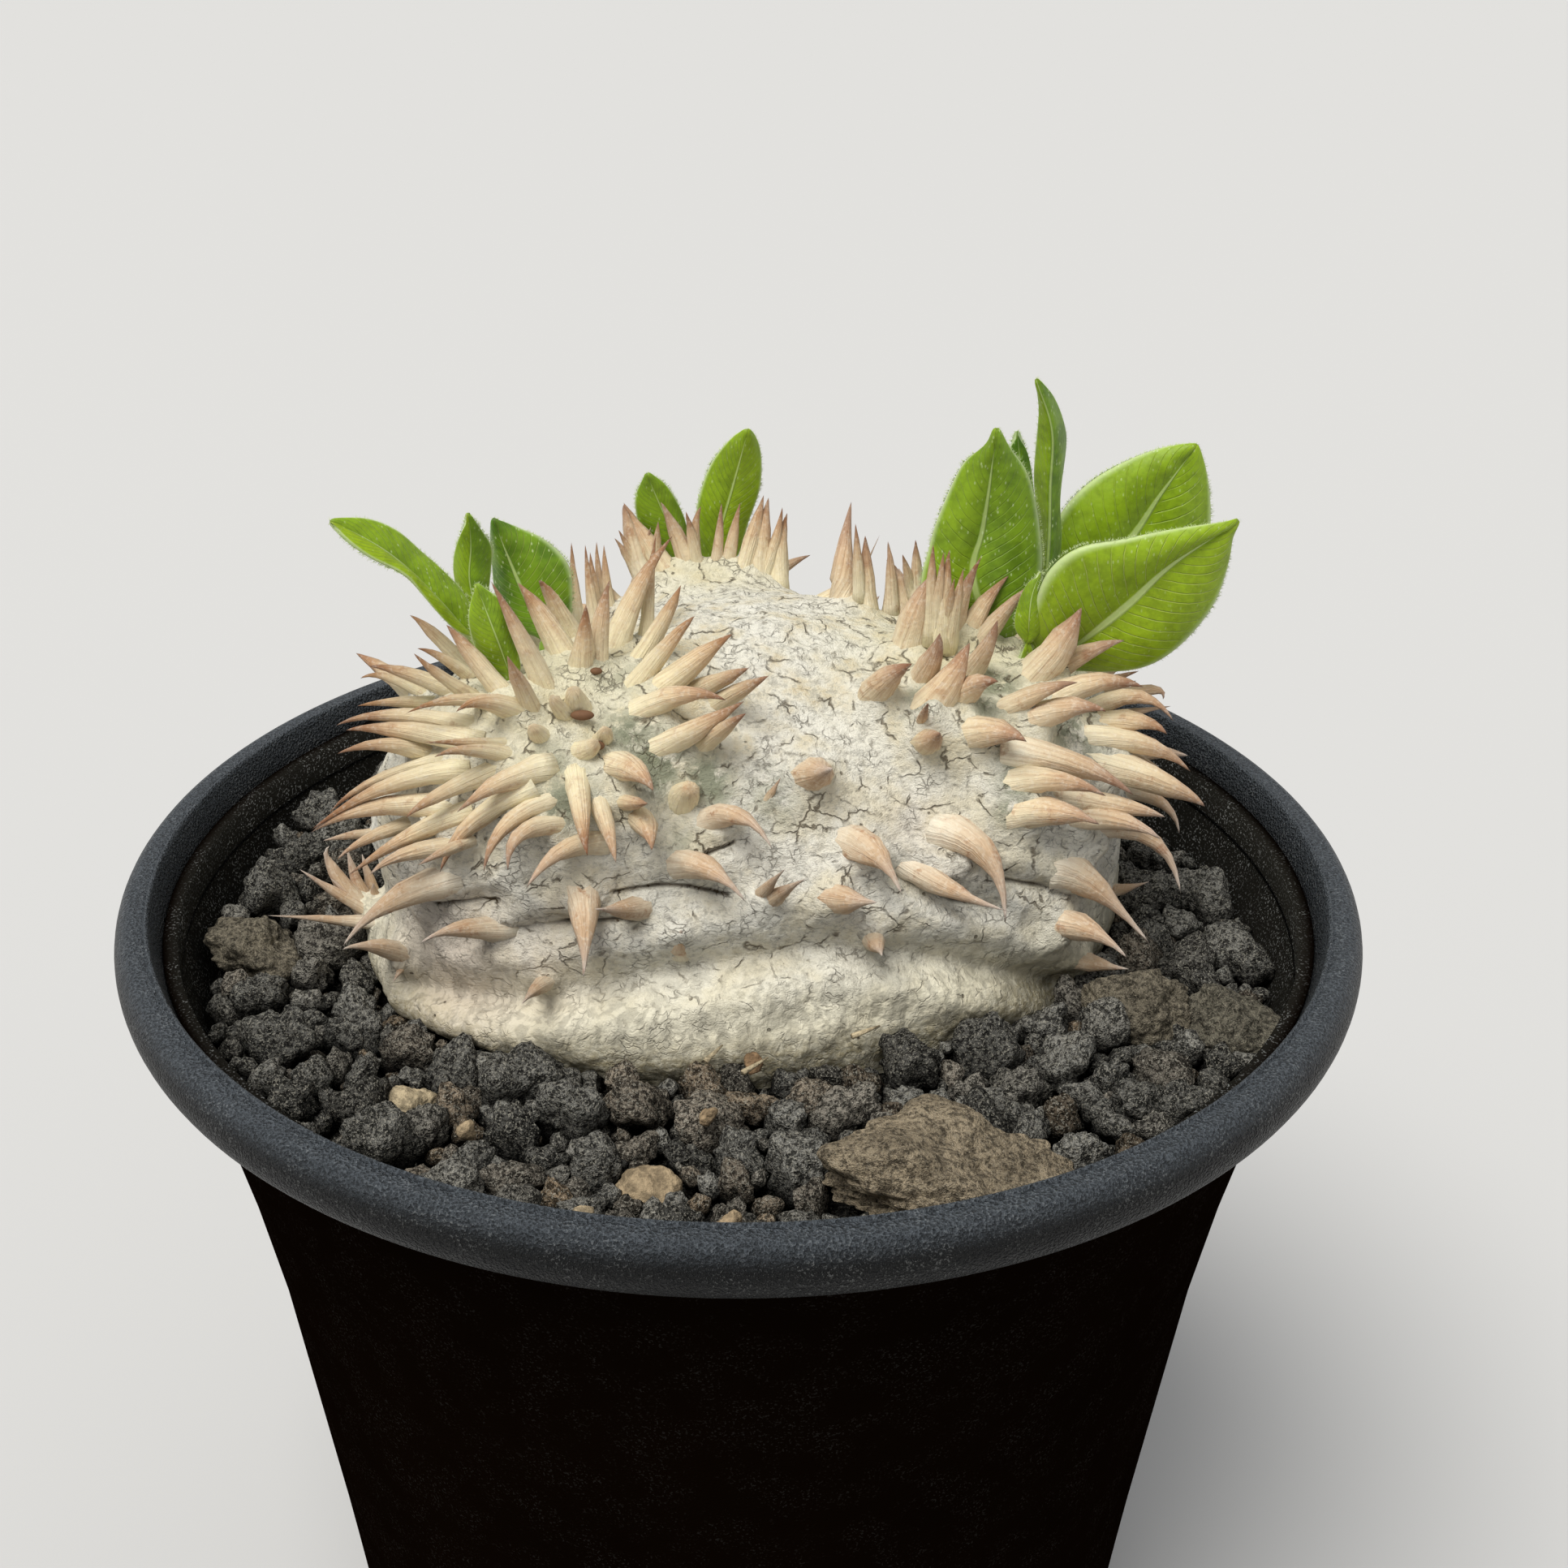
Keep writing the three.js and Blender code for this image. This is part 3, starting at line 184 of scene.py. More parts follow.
RIGHT_HEAD_SPINES = [
    [1121, 800, 1130, 750, 1146, 710, 32], [1174, 795, 1187, 742, 1206, 689, 22],
    [1188, 795, 1212, 750, 1243, 709, 26], [1206, 800, 1236, 760, 1270, 721, 24],
    [1192, 830, 1214, 797, 1229, 764, 26], [1140, 790, 1134, 758, 1133, 727, 20],
    [1130, 845, 1150, 812, 1158, 780, 30], [1138, 885, 1168, 835, 1195, 792, 42],
    [1080, 860, 1100, 838, 1124, 818, 36], [1180, 870, 1203, 847, 1230, 840, 30],
    [1132, 900, 1144, 866, 14], [1137, 912, 1158, 903, 32], [1190, 910, 1230, 898, 1265, 914, 36],
    [1235, 882, 1280, 855, 1328, 841, 30], [1265, 895, 1320, 872, 1363, 877, 34],
    [1268, 840, 1300, 790, 1328, 751, 40], [1242, 800, 1295, 772, 1321, 745, 34],
    [1285, 838, 1335, 808, 1383, 790, 30], [1330, 835, 1394, 788, 22],
    [1345, 835, 1385, 802, 1425, 779, 26], [1340, 842, 1403, 827, 18],
    [1295, 872, 1350, 848, 1409, 847, 32], [1380, 855, 1415, 852, 1433, 862, 18],
    [1395, 857, 1443, 870, 12], [1345, 890, 1398, 862, 1446, 889, 22],
    [1345, 898, 1400, 890, 1438, 905, 26], [1345, 918, 1410, 920, 1467, 951, 32],
    [1355, 945, 1430, 970, 1485, 994, 40], [1370, 937, 1415, 945, 1448, 978, 14],
    [1255, 935, 1330, 945, 1397, 980, 34], [1255, 972, 1305, 965, 1363, 981, 30],
    [1258, 1008, 1305, 995, 1355, 1016, 34], [1315, 985, 1385, 993, 1436, 1007, 28],
    [1390, 985, 1430, 990, 1453, 1028, 20], [1320, 1012, 1380, 1012, 1430, 1034, 30],
    [1345, 1035, 1415, 1035, 1455, 1102, 26],
]
FRONT_SPINES = [
    [880, 1022, 915, 1013, 952, 1047, 30], [848, 1072, 885, 1078, 918, 1111, 32],
    [716, 1105, 718, 1150, 719, 1205, 30], [785, 1118, 733, 1120, 26],
    [1052, 1048, 1085, 1055, 1112, 1104, 34], [1172, 1045, 1215, 1065, 1239, 1139, 40],
    [1140, 1075, 1180, 1100, 1240, 1122, 26], [1315, 1080, 1355, 1095, 1418, 1165, 36],
    [1300, 1143, 1345, 1150, 1389, 1181, 30], [1322, 1180, 1391, 1194, 24], [1365, 1097, 1416, 1086, 14],
    [1020, 1105, 1081, 1112, 36], [1075, 1160, 1087, 1178, 20], [935, 1108, 968, 1070, 14],
    [945, 1112, 992, 1083, 20], [1000, 956, 1026, 947, 40], [548, 1092, 480, 1112, 421, 1168, 34],
    [500, 1180, 455, 1171, 422, 1170, 24], [610, 1150, 560, 1146, 518, 1162, 24],
    [672, 1213, 643, 1237, 16],
]
SHOOT_SPINES = [
    [402, 1118, 369, 1071, 16], [430, 1120, 412, 1080, 406, 1042, 20], [420, 1120, 407, 1082, 14],
    [440, 1120, 428, 1046, 20], [455, 1110, 446, 1052, 16], [465, 1115, 460, 1088, 14],
]

# Small spines and nubs that only these looks have, and the scars between the nubs
SMALL_SPINES = [
    [944, 985, 962, 958, 12], [500, 1188, 484, 1211, 12], [395, 1131, 329, 1128, 12],
    [838, 1158, 840, 1146, 26], [1068, 662, 1084, 659, 8],
]
NUBS = [
    [696, 878, 679, 858, 26], [714, 874, 705, 849, 32], [740, 912, 746, 898, 26], [716, 924, 733, 914, 30],
    [840, 988, 851, 972, 42], [668, 905, 655, 895, 26],
]
SCARS = [((716, 889), 0.95, 0.42), ((731, 924), 0.78, 0.42), ((733, 838), 0.5, 0.3), ((615, 972), 0.7, 0.35)]

# Depths of the spines whose roots the view does not reach
BACK_HEAD_DEPTH = 21
CREST_DEPTH = 12
CROWN_DEPTH = 3.5
SPINE_REACH = 8.2
SPINE_SUNK = 1.6

# How high a spine's tip stands over the bark at least, as a share of its length in the view
SPINE_LIFT = 0.22
NUB_LIFT = 1.6

# How a tip comes towards the view where the bark faces it, and how much further at most, step by step
FACING_GAIN = 1.3
FACING_LEAST = -0.7
RISE_SHARE = 0.8
LIFT_STEP = 0.25
LIFT_MOST = 12
BEND_SHARE = 0.6
SPINE_BOW = 0.08

# Heads of the caudex: middle and reach
HEADS = [
    (np.array([-15, -3, LIP_Z + 19]), 17),
    (np.array([20, 5, LIP_Z + 19]), 17),
    (np.array([-3, 22, LIP_Z + 18]), 12),
]
HIDDEN_TRIES = 520
HIDDEN_SPARSE = 0.1
HIDDEN_LENGTHS = (5.2, 3)
HIDDEN_RADII = (0.72, 0.4)
GOLDEN_ANGLE = math.pi * (3 - math.sqrt(5))

# Leaves: midrib as pixel column, row and depth along Y from base to tip, both margins as pixels from base to
# tip, how far each margin lies behind the midrib, how bright each half is (painted light on a lit half and
# the paler colour of an underside) and how plain the side veins are
LEAVES = [
    ("leaf_left_low", [(592, 802, -0.6), (540, 742, -1.6), (476, 683, -2.2), (406, 642, -3)],
     [(560, 775), (522, 733), (498, 709), (456, 689), (426, 666)],
     [(575, 740), (545, 702), (518, 679), (487, 654), (449, 640)], (-1.3, 2.2), (1.0, 0.6), 0.1),
    ("leaf_left_bud", [(606, 800, 3), (580, 722, 3.6), (580, 672, 3.6), (577, 632, 3)],
     [(575, 760), (563, 720), (560, 694), (564, 667)],
     [(600, 740), (604, 700), (606, 672), (592, 650)], (0.8, 0.8), (0.7, 0.3), 0),
    ("leaf_left_broad", [(672, 790, 6.5), (641, 722, 7), (625, 683, 7), (608, 638, 6.5)],
     [(630, 770), (612, 730), (608, 700), (606, 668)],
     [(700, 765), (706, 725), (700, 692), (671, 665), (640, 652)], (1.6, 1.2), (0.0, 0.15), 0.75),
    ("leaf_left_front", [(636, 850, -4), (621, 805, -4.6), (608, 772, -4.8), (587, 719, -4)],
     [(609, 836), (592, 812), (580, 775), (580, 748)],
     [(640, 822), (636, 800), (631, 774), (625, 748), (612, 733)], (0.6, 0.5), (0.7, 0.5), 0.1),
    ("leaf_back_left", [(845, 700, 22.4), (831, 656, 22.8), (816, 625, 22.9), (797, 583, 22.4)],
     [(815, 680), (790, 650), (784, 630), (784, 606)],
     [(851, 690), (846, 655), (837, 624), (820, 596)], (0.8, 0.6), (0.45, 0.5), 0.1),
    ("leaf_back_tall", [(872, 712, 23.6), (888, 650, 24.2), (903, 598, 24.4), (921, 529, 23.6)],
     [(862, 690), (858, 640), (864, 602), (878, 567), (900, 542)],
     [(905, 690), (922, 642), (936, 600), (937, 562), (931, 540)], (0.7, 0.9), (0.75, 0.85), 0.2),
    ("leaf_right_broad",
     [(1228, 800, 6.5), (1197, 708, 7.7), (1209, 654, 8), (1218, 600, 7.5), (1228, 527, 6.5)],
     [(1150, 780), (1134, 728), (1144, 677), (1153, 643), (1174, 593), (1190, 566), (1216, 549)],
     [(1262, 770), (1284, 706), (1283, 662), (1274, 608), (1262, 575), (1243, 551)],
     (0.8, 1.0), (0.55, 0.35), 0.12),
    ("leaf_right_behind", [(1252, 770, 12.5), (1262, 690, 13.5), (1260, 610, 13.5), (1253, 531, 13.5)],
     [(1244, 700), (1243, 620), (1242, 560)],
     [(1272, 700), (1273, 620), (1269, 575), (1264, 552)], (0.5, 0.5), (0.1, 0.1), 0),
    ("leaf_right_edge",
     [(1272, 795, 8.5), (1292, 690, 9.7), (1294, 600, 9.9), (1296, 530, 9.5), (1277, 466, 8.5)],
     [(1270, 740), (1284, 670), (1276, 594), (1278, 540), (1281, 497)],
     [(1290, 740), (1305, 670), (1304, 616), (1312, 551), (1310, 524), (1296, 489)],
     (1.6, 2.6), (0.7, 0.2), 0),
    ("leaf_right_far",
     [(1300, 797, 12.5), (1350, 712, 13.9), (1396, 657, 14.5), (1427, 610, 14.5), (1475, 547, 14.5)],
     [(1285, 740), (1290, 672), (1307, 630), (1343, 593), (1392, 566), (1440, 550)],
     [(1370, 790), (1440, 740), (1486, 680), (1492, 636), (1487, 585)], (0.9, 0.7), (0.75, 0.75), 0.3),
    ("leaf_right_near",
     [(1280, 826, 5), (1342, 781, 3.7), (1392, 741, 3.1), (1443, 692, 2.7), (1526, 640, 2.5)],
     [(1260, 790), (1272, 750), (1290, 703), (1327, 674), (1381, 665), (1438, 654), (1489, 646)],
     [(1318, 824), (1373, 826), (1418, 817), (1460, 788), (1497, 742), (1514, 690), (1516, 662)],
     (-0.8, 0.5), (0.85, 1.0), 1),
    ("leaf_right_inner", [(1266, 800, 3), (1268, 755, 2.5), (1272, 730, 2.9), (1282, 705, 3.5)],
     [(1252, 775), (1256, 745), (1266, 722)],
     [(1282, 775), (1284, 745), (1284, 722)], (0.6, 0.6), (0.6, 0.6), 0),
]
LEAF_SUNK = 1

# Stones and pebbles: node, seed, how knobbly, how brown or pale, and how much larger than the solid
STONES = [
    ("stone_front", 11, 0.2, 0.9, (1.18, 1.1, 0.84)),
    ("stone_left", 12, 0.22, 0.3, (1.1, 1.1, 1.1)),
    ("stone_right", 13, 0.2, 0.35, (1.12, 1.1, 1.1)),
    ("stone_far_right", 14, 0.2, 0.1, (1.12, 1.1, 1.1)),
]
PEBBLES = [("pebble_cream", 15, 0.12, 0.9, (1, 1, 1)), ("pebble_tan", 16, 0.12, 0.5, (1, 1, 1))]

# Small pebbles by pixel with radius and paleness, and bits of straw by the pixels of both ends
PEBBLE_BITS = [
    ((872, 1375), 0.8, 0.3), ((715, 1498), 1, 0.7), ((575, 1395), 0.8, 0.5), ((900, 1510), 0.9, 0.4),
    ((925, 1310), 0.8, 0),
]
STRAW_BITS = [((870, 1307), (890, 1288)), ((915, 1322), (946, 1303)), ((1050, 1277), (1084, 1264))]
BIT_HEIGHT = 4.2
STRAW_HEIGHT = 5

# Grit: how much higher it lies at the back left, and the layers of grains as size against the largest,
# how many are tried and how close together they may stand
HEAP = 3.4
GRAIN_LAYERS = [(1, 380, 0.82), (0.78, 2000, 0.78), (0.56, 4600, 0.75), (0.4, 7000, 0.75), (0.27, 9000, 0.8)]

WORN_SIDES = 9

# Kinds of grain: name, subdivisions of the ball, and the least size against the largest grain
GRAIN_KINDS = [("grains_large", 4, 0.72), ("grains_middling", 3, 0.48), ("grains_small", 2, 0)]

MASK32 = 0xFFFFFFFF
RANDOM_STEP = 0x6D2B79F5
RANDOM_SPAN = 2 ** 32


def seeded(seed):
    """Seeded random numbers from 0 to 1, the same as the solids' source draws."""
    state = seed

    def draw():
        nonlocal state
        state = (state + RANDOM_STEP) & MASK32
        mixed = ((state ^ (state >> 15)) * (state | 1)) & MASK32
        mixed ^= (mixed + ((mixed ^ (mixed >> 7)) * (mixed | 61) & MASK32)) & MASK32
        return ((mixed ^ (mixed >> 14)) & MASK32) / RANDOM_SPAN

    return draw


def unit(vectors):
    vectors = np.asarray(vectors, float)
    return vectors / np.linalg.norm(vectors, axis=-1, keepdims=True)


def bell(values):
    return np.exp(-np.square(values))


def linear(red, green, blue):
    """A colour as seen on a screen, 0 to 255, as the linear colour that shaders use."""
    def one(value):
        value /= 255
        return value / 12.92 if value <= 0.04045 else ((value + 0.055) / 1.055) ** 2.4

    return one(red), one(green), one(blue)


# Sight lines


def sight_line(column, row):
    """The direction in which the view sees a pixel."""
    right = (np.asarray(column, float) - CENTRE_COLUMN) / FOCAL_PIXELS
    up = (CENTRE_ROW - np.asarray(row, float)) / FOCAL_PIXELS
    return unit(FORWARD + right[..., None] * RIGHTWARD + up[..., None] * UPWARD)


def at_depth(column, row, y):
    """The point of a pixel's sight line on the upright plane at depth y."""
    line = sight_line(column, row)
    return EYE + line * ((y - EYE[1]) / line[..., 1:2])


def at_height(column, row, z):
    """The point of a pixel's sight line at a height."""
    line = sight_line(column, row)
    return EYE + line * ((z - EYE[2]) / line[..., 2:3])


# The caudex as a field of distances

# Steps along a sight line towards the bark: how many, from where, and how far each goes. Then how often a
# reach is halved, the step that slopes are taken over, and how points are settled on the bark
MARCH_STEPS = 90
MARCH_START = 100
MARCH_SHARE = 0.7
MARCH_LEAST = 0.02
MARCH_NEAR = 0.01
HALVINGS = 24
NORMAL_STEP = 0.15
SETTLE_START = 30
SETTLE_STEPS = 12
SETTLE_SHARE = 0.8


def lobe_distance(points, lobe):
    centre, half, degrees = lobe
    turn = math.radians(degrees)
    offset = points - np.array(centre)
    x, y, z = offset[..., 0], offset[..., 1], offset[..., 2]
    turned = (x * math.cos(turn) + y * math.sin(turn), y * math.cos(turn) - x * math.sin(turn), z)
    local = np.stack(turned, axis=-1)
    near = np.linalg.norm(local / half, axis=-1)
    steep = np.linalg.norm(local / np.square(half), axis=-1)
    return near * (near - 1) / np.maximum(steep, 1e-6)


def caudex_distance(points):
    """Rough distance from points to the caudex, negative inside."""
    distances = np.stack([lobe_distance(points, lobe) for lobe in LOBES])
    nearest = distances.min(axis=0)
    return nearest - LOBE_BLEND * np.log(np.exp((nearest - distances) / LOBE_BLEND).sum(axis=0))


def caudex_normal(points):
    shifts = np.eye(3) * NORMAL_STEP
    slopes = [caudex_distance(points + shift) - caudex_distance(points - shift) for shift in shifts]
    return unit(np.stack(slopes, axis=-1))


def on_caudex(pixels):
    """Where the sight lines of pixels meet the caudex, or the nearest places on it where they miss."""
    pixels = np.asarray(pixels, float)
    lines = sight_line(pixels[:, 0], pixels[:, 1])
    points = EYE + lines * MARCH_START
    nearest = points.copy()
    least = np.full(len(points), np.inf)
    moving = np.ones(len(points), bool)
    for _ in range(MARCH_STEPS):
        distance = caudex_distance(points)
        closer = moving & (np.abs(distance) < least)
        nearest[closer] = points[closer]
        least[closer] = np.abs(distance)[closer]
        moving &= distance >= MARCH_NEAR
        stride = np.maximum(distance * MARCH_SHARE, MARCH_LEAST)
        points = points + lines * np.where(moving, stride, 0)[:, None]
    for _ in range(4):
        nearest = nearest - caudex_normal(nearest) * caudex_distance(nearest)[:, None]
    return nearest


def out_to_caudex(directions):
    """The caudex's surface along directions from its heart."""
    inner = np.full(len(directions), 5.0)
    outer = np.full(len(directions), 60.0)
    for _ in range(HALVINGS):
        middle = (inner + outer) / 2
        inside = caudex_distance(CAUDEX_HEART + directions * middle[:, None]) < 0
        inner = np.where(inside, middle, inner)
        outer = np.where(inside, outer, middle)
    return CAUDEX_HEART + directions * inner[:, None]


def settled(points, out):
    """Points moved along directions until they lie on the caudex."""
    for _ in range(SETTLE_STEPS):
        points = points - out * caudex_distance(points)[..., None] * SETTLE_SHARE
    return points


def segment_distance(points, start, end):
    along = end - start
    share = np.clip((points - start) @ along / (along @ along), 0, 1)
    return np.linalg.norm(points - start - share[:, None] * along, axis=1)


def line_distance(points, line):
    return np.min([segment_distance(points, a, b) for a, b in zip(line, line[1:])], axis=0)


def back_fold(height, wave, start, end):
    angles = np.radians(np.arange(start, end + 0.1, BACK_FOLD_STEP))
    out = np.stack([np.cos(angles), np.sin(angles), np.zeros(len(angles))], axis=1)
    points = out * SETTLE_START
    points[:, :2] += CAUDEX_HEART[:2]
    points[:, 2] = height + wave * np.sin(3 * angles)
    return settled(points, out)


def fold_lines():
    front = [(depth, width, on_caudex(line)) for depth, width, line in FOLDS]
    return front + [(depth, width, back_fold(*where)) for depth, width, *where in BACK_FOLDS]


def fold_depth(points, folds):
    """How deep the folds are at points, with the bark a little raised along both sides."""
    depth = np.zeros(len(points))
    for deep, width, line in folds:
        across = line_distance(points, line) / width
        depth += deep * (bell(across) - 0.3 * bell(across - 2.4))
    return depth


def crease_distance(points, folds):
    """Distance from points to the nearest sharp crease."""
    return np.min([line_distance(points, line) for _, _, line in folds[1:len(FOLDS)]], axis=0)


# Spines as root, bend, tip and radius


def spines_from_pixels(rows, depth=None, reach=SPINE_REACH, lift=SPINE_LIFT):
    """Spines whose roots lie on the caudex and whose tips stand out towards the side that the bark faces."""
    roots = np.array([[row[0], row[1]] for row in rows], float)
    if depth is None:
        roots = on_caudex(roots)
    else:
        roots = at_depth(roots[:, 0], roots[:, 1], depth)
    normals = caudex_normal(roots)
    return [spine_from_pixels(*each, reach, lift) for each in zip(rows, roots, normals)]


def spine_from_pixels(row, root, normal, reach, lift):
    width = row[-1]
    column, line = row[-3:-1]
    scale = np.linalg.norm(root - EYE) / FOCAL_PIXELS
    flat = math.hypot(column - row[0], line - row[1]) * scale
    spare = math.sqrt(max(reach ** 2 - flat ** 2, 0))
    rise = min(max(-normal @ FORWARD * FACING_GAIN, FACING_LEAST), 1) * spare * RISE_SHARE
    span = (root - EYE) @ FORWARD

    def place(column, line, towards):
        sight = sight_line(column, line)
        return EYE + sight * (span - towards) / (sight @ FORWARD)

    towards = rise
    tip = place(column, line, towards)
    while caudex_distance(tip) < lift * flat and towards < rise + LIFT_MOST:
        towards += LIFT_STEP
        tip = place(column, line, towards)
    bend = (root + tip) / 2
    if len(row) == 7:
        bend = place(row[2], row[3], towards * BEND_SHARE) * 2 - bend
    bend = bend + normal * SPINE_BOW * flat
    return {"root": root, "bend": bend, "tip": tip, "radius": width * scale * 0.5}


def hidden_spines():
    """Spines on the sides that the photograph does not show, spread by the golden angle."""
    random = seeded(5)
    spines = []
    for i in range(HIDDEN_TRIES):
        z = 1 - (2 * i + 1) / HIDDEN_TRIES
        angle = i * GOLDEN_ANGLE
        flat = math.sqrt(1 - z * z)
        out = np.array([flat * math.cos(angle), flat * math.sin(angle), z])
        root = settled(CAUDEX_HEART + out * SETTLE_START, out)
        normal = caudex_normal(root)
        draw = [random() for _ in range(4)]
        seen = normal @ unit(root - EYE) < 0.12
        if seen or root[2] < LIP_Z - 1:
            continue
        head = next((centre for centre, reach in HEADS if np.linalg.norm(centre - root) < reach), None)
        if head is None and draw[3] > HIDDEN_SPARSE:
            continue
        away = np.array([0, 0, -0.4]) if head is None else unit(root - head)
        along = unit(normal + away * 0.7 + (np.array(draw[:3]) - 0.5) * 0.6)
        length = HIDDEN_LENGTHS[0] + HIDDEN_LENGTHS[1] * draw[1]
        radius = HIDDEN_RADII[0] + HIDDEN_RADII[1] * draw[2]
        bend = root + along * length * 0.5 + normal * SPINE_BOW * length
        spines.append({"root": root, "bend": bend, "tip": root + along * length, "radius": radius})
    return spines


def bezier(start, bend, end, share):
    share = np.asarray(share, float)[:, None]
    return start * (1 - share) ** 2 + bend * 2 * share * (1 - share) + end * share ** 2


def clear_of(spine, leaves):
    """A spine that would cross a leaf is bent clear of it, towards the view or away."""
    for shift in (0, -1, -2, -3, 1, -4, 2, 3, 4):
        tip = spine["tip"] + FORWARD * shift
        bend = spine["bend"] + FORWARD * shift * 0.6
        line = bezier(spine["root"], bend, tip, np.linspace(0.15, 1, 9))
        room = np.linspace(spine["radius"], 0.1, 9) + 0.35
        near = [leaves.find_nearest(Vector(point))[3] for point in line]
        if all(distance > space for distance, space in zip(near, room)):
            return {**spine, "tip": tip, "bend": bend}
    return spine


# Shader maths


class Wire:
    """A shader socket. An expression on wires adds the Math nodes that work it out."""

    def __init__(self, finish, socket):
        self.finish = finish
        self.socket = socket

    def math(self, operation, *others, clamp=False):
        values = dict(enumerate((self, *others)))
        return self.finish.node("ShaderNodeMath", values, operation=operation, use_clamp=clamp)

    def __add__(self, other):
        return self.math("ADD", other)

    def __sub__(self, other):
        return self.math("SUBTRACT", other)

    def __mul__(self, other):
        return self.math("MULTIPLY", other)

    def __truediv__(self, other):
        return self.math("DIVIDE", other)

    def __rsub__(self, other):
        return self.finish.node("ShaderNodeMath", {0: other, 1: self}, operation="SUBTRACT")

    __radd__ = __add__
    __rmul__ = __mul__

    def clamped(self):
        return self.math("ADD", 0, clamp=True)

    def absolute(self):
        return self.math("ABSOLUTE")

    def fraction(self):
        return self.math("FRACT")

    def rise(self, low, high):
        """0 below low, 1 above high, and smooth between."""
        inputs = {"Value": self, "From Min": low, "From Max": high}
        return self.finish.node("ShaderNodeMapRange", inputs, interpolation_type="SMOOTHSTEP")

    def part(self, name):
        """Another output of the node that this wire comes from."""
        return Wire(self.finish, self.socket.node.outputs[name])


class Finish:
    """A procedural material: node() adds any node, and the rest are short names for usual ones."""

    def __init__(self, name):
        self.material = bpy.data.materials.new(name)
        self.material.use_nodes = True
        self.tree = self.material.node_tree
        self.shader = self.tree.nodes["Principled BSDF"]
        self.object_place = self.node("ShaderNodeTexCoord").part("Object")

    def fill(self, node, inputs):
        for key, value in inputs.items():
            if isinstance(key, int):
                socket = node.inputs[key]
            else:
                socket = next(s for s in node.inputs if s.enabled and s.name == key)
            if isinstance(value, Wire):
                self.tree.links.new(value.socket, socket)
            elif socket.type == "RGBA":
                socket.default_value = (*value[:3], 1)
            else:
                socket.default_value = value

    def node(self, kind, inputs=None, stops=None, **settings):
        """The first output in use of a new node, with its settings made before its inputs."""
        node = self.tree.nodes.new(kind)
        for name, value in settings.items():
            setattr(node, name, value)
        if stops:
            ramp = node.color_ramp
            while len(ramp.elements) < len(stops):
                ramp.elements.new(0.5)
            for element, (position, colour) in zip(ramp.elements, stops):
                element.position = position
                element.color = (*colour[:3], 1)
        self.fill(node, inputs or {})
        return Wire(self, next(s for s in node.outputs if s.enabled))

    def scaled(self, place, factors):
        """A place with each axis multiplied, so that a pattern is drawn out along some of them."""
        return self.node("ShaderNodeVectorMath", {0: place, 1: factors}, operation="MULTIPLY")

    def shifted(self, place, by):
        return self.node("ShaderNodeVectorMath", {0: place, 1: by}, operation="ADD")

    def noise(self, place, scale, detail=2, roughness=0.5):
        inputs = {"Vector": place, "Scale": scale, "Detail": detail, "Roughness": roughness}
        return self.node("ShaderNodeTexNoise", inputs)

    def cells(self, place, scale, feature="F1"):
        return self.node("ShaderNodeTexVoronoi", {"Vector": place, "Scale": scale}, feature=feature)

    def ramp(self, factor, *stops):
        return self.node("ShaderNodeValToRGB", {"Fac": factor}, stops=stops)

    def mix(self, factor, first, second, blend="MIX"):
        inputs = {"Factor": factor, "A": first, "B": second}
        return self.node("ShaderNodeMix", inputs, data_type="RGBA", blend_type=blend)

    def attribute(self, name, output="Fac"):
        return self.node("ShaderNodeAttribute", attribute_name=name).part(output)

    def warped(self, place, scale, amount):
        """A place pushed about by a soft noise."""
        push = self.node("ShaderNodeTexNoise", {"Vector": place, "Scale": scale, "Detail": 2}).part("Color")
        centred = self.node("ShaderNodeVectorMath", {0: push, 1: (0.5, 0.5, 0.5)}, operation="SUBTRACT")
        return self.shifted(place, self.scaled(centred, (amount, amount, amount)))

    def surface(self, **inputs):
        self.fill(self.shader, {name.replace("_", " "): value for name, value in inputs.items()})

    def relief(self, *heights):
        """Bumps, each a height in millimetres and its strength, one on the other."""
        normal = None
        for height, strength in heights:
            inputs = {"Height": height, "Strength": strength, "Distance": MM}
            if normal:
                inputs["Normal"] = normal
            normal = self.node("ShaderNodeBump", inputs)
        self.surface(Normal=normal)


# Pieces


def finished_mesh(name, bm):
    """A bmesh as a new mesh. The bmesh is freed."""
    mesh = bpy.data.meshes.new(name)
    bm.to_mesh(mesh)
    bm.free()
    return mesh


def in_metres(name, bm):
    bmesh.ops.scale(bm, vec=(MM, MM, MM), verts=bm.verts)
    return finished_mesh(name, bm)


def add_object(name, data):
    thing = bpy.data.objects.new(name, data)
    bpy.context.scene.collection.objects.link(thing)
    return thing


def new_piece(name, bm, material, nodes=()):
    """A finished mesh in millimetres as a piece of the plant, in metres, that rides with the pot."""
    mesh = in_metres(name, bm)
    mesh.materials.append(material)
    mesh.polygons.foreach_set("use_smooth", np.ones(len(mesh.polygons), bool))
    piece = add_object(name, mesh)
    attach(piece, "root")
    if nodes:
        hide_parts(*nodes)
    return piece


def modify(piece, kind, **settings):
    modifier = piece.modifiers.new(kind.title(), kind)
    for name, value in settings.items():
        setattr(modifier, name, value)


def places(bm):
    return np.array([vert.co for vert in bm.verts], float).reshape(-1, 3)


def move_to(verts, points):
    for vert, point in zip(verts, points):
        vert.co = point


def add_copy(bm, blank):
    """Adds a mesh to a bmesh and returns its new vertices."""
    before = len(bm.verts)
    bm.from_mesh(blank)
    bm.verts.ensure_lookup_table()
    return bm.verts[before:]


def float_layer(bm, name):
    return bm.verts.layers.float.get(name) or bm.verts.layers.float.new(name)


def set_layer(verts, layer, value):
    for vert in verts:
        vert[layer] = value


def paint(bm, name, values):
    layer = float_layer(bm, name)
    for vert, value in zip(bm.verts, values):
        vert[layer] = value


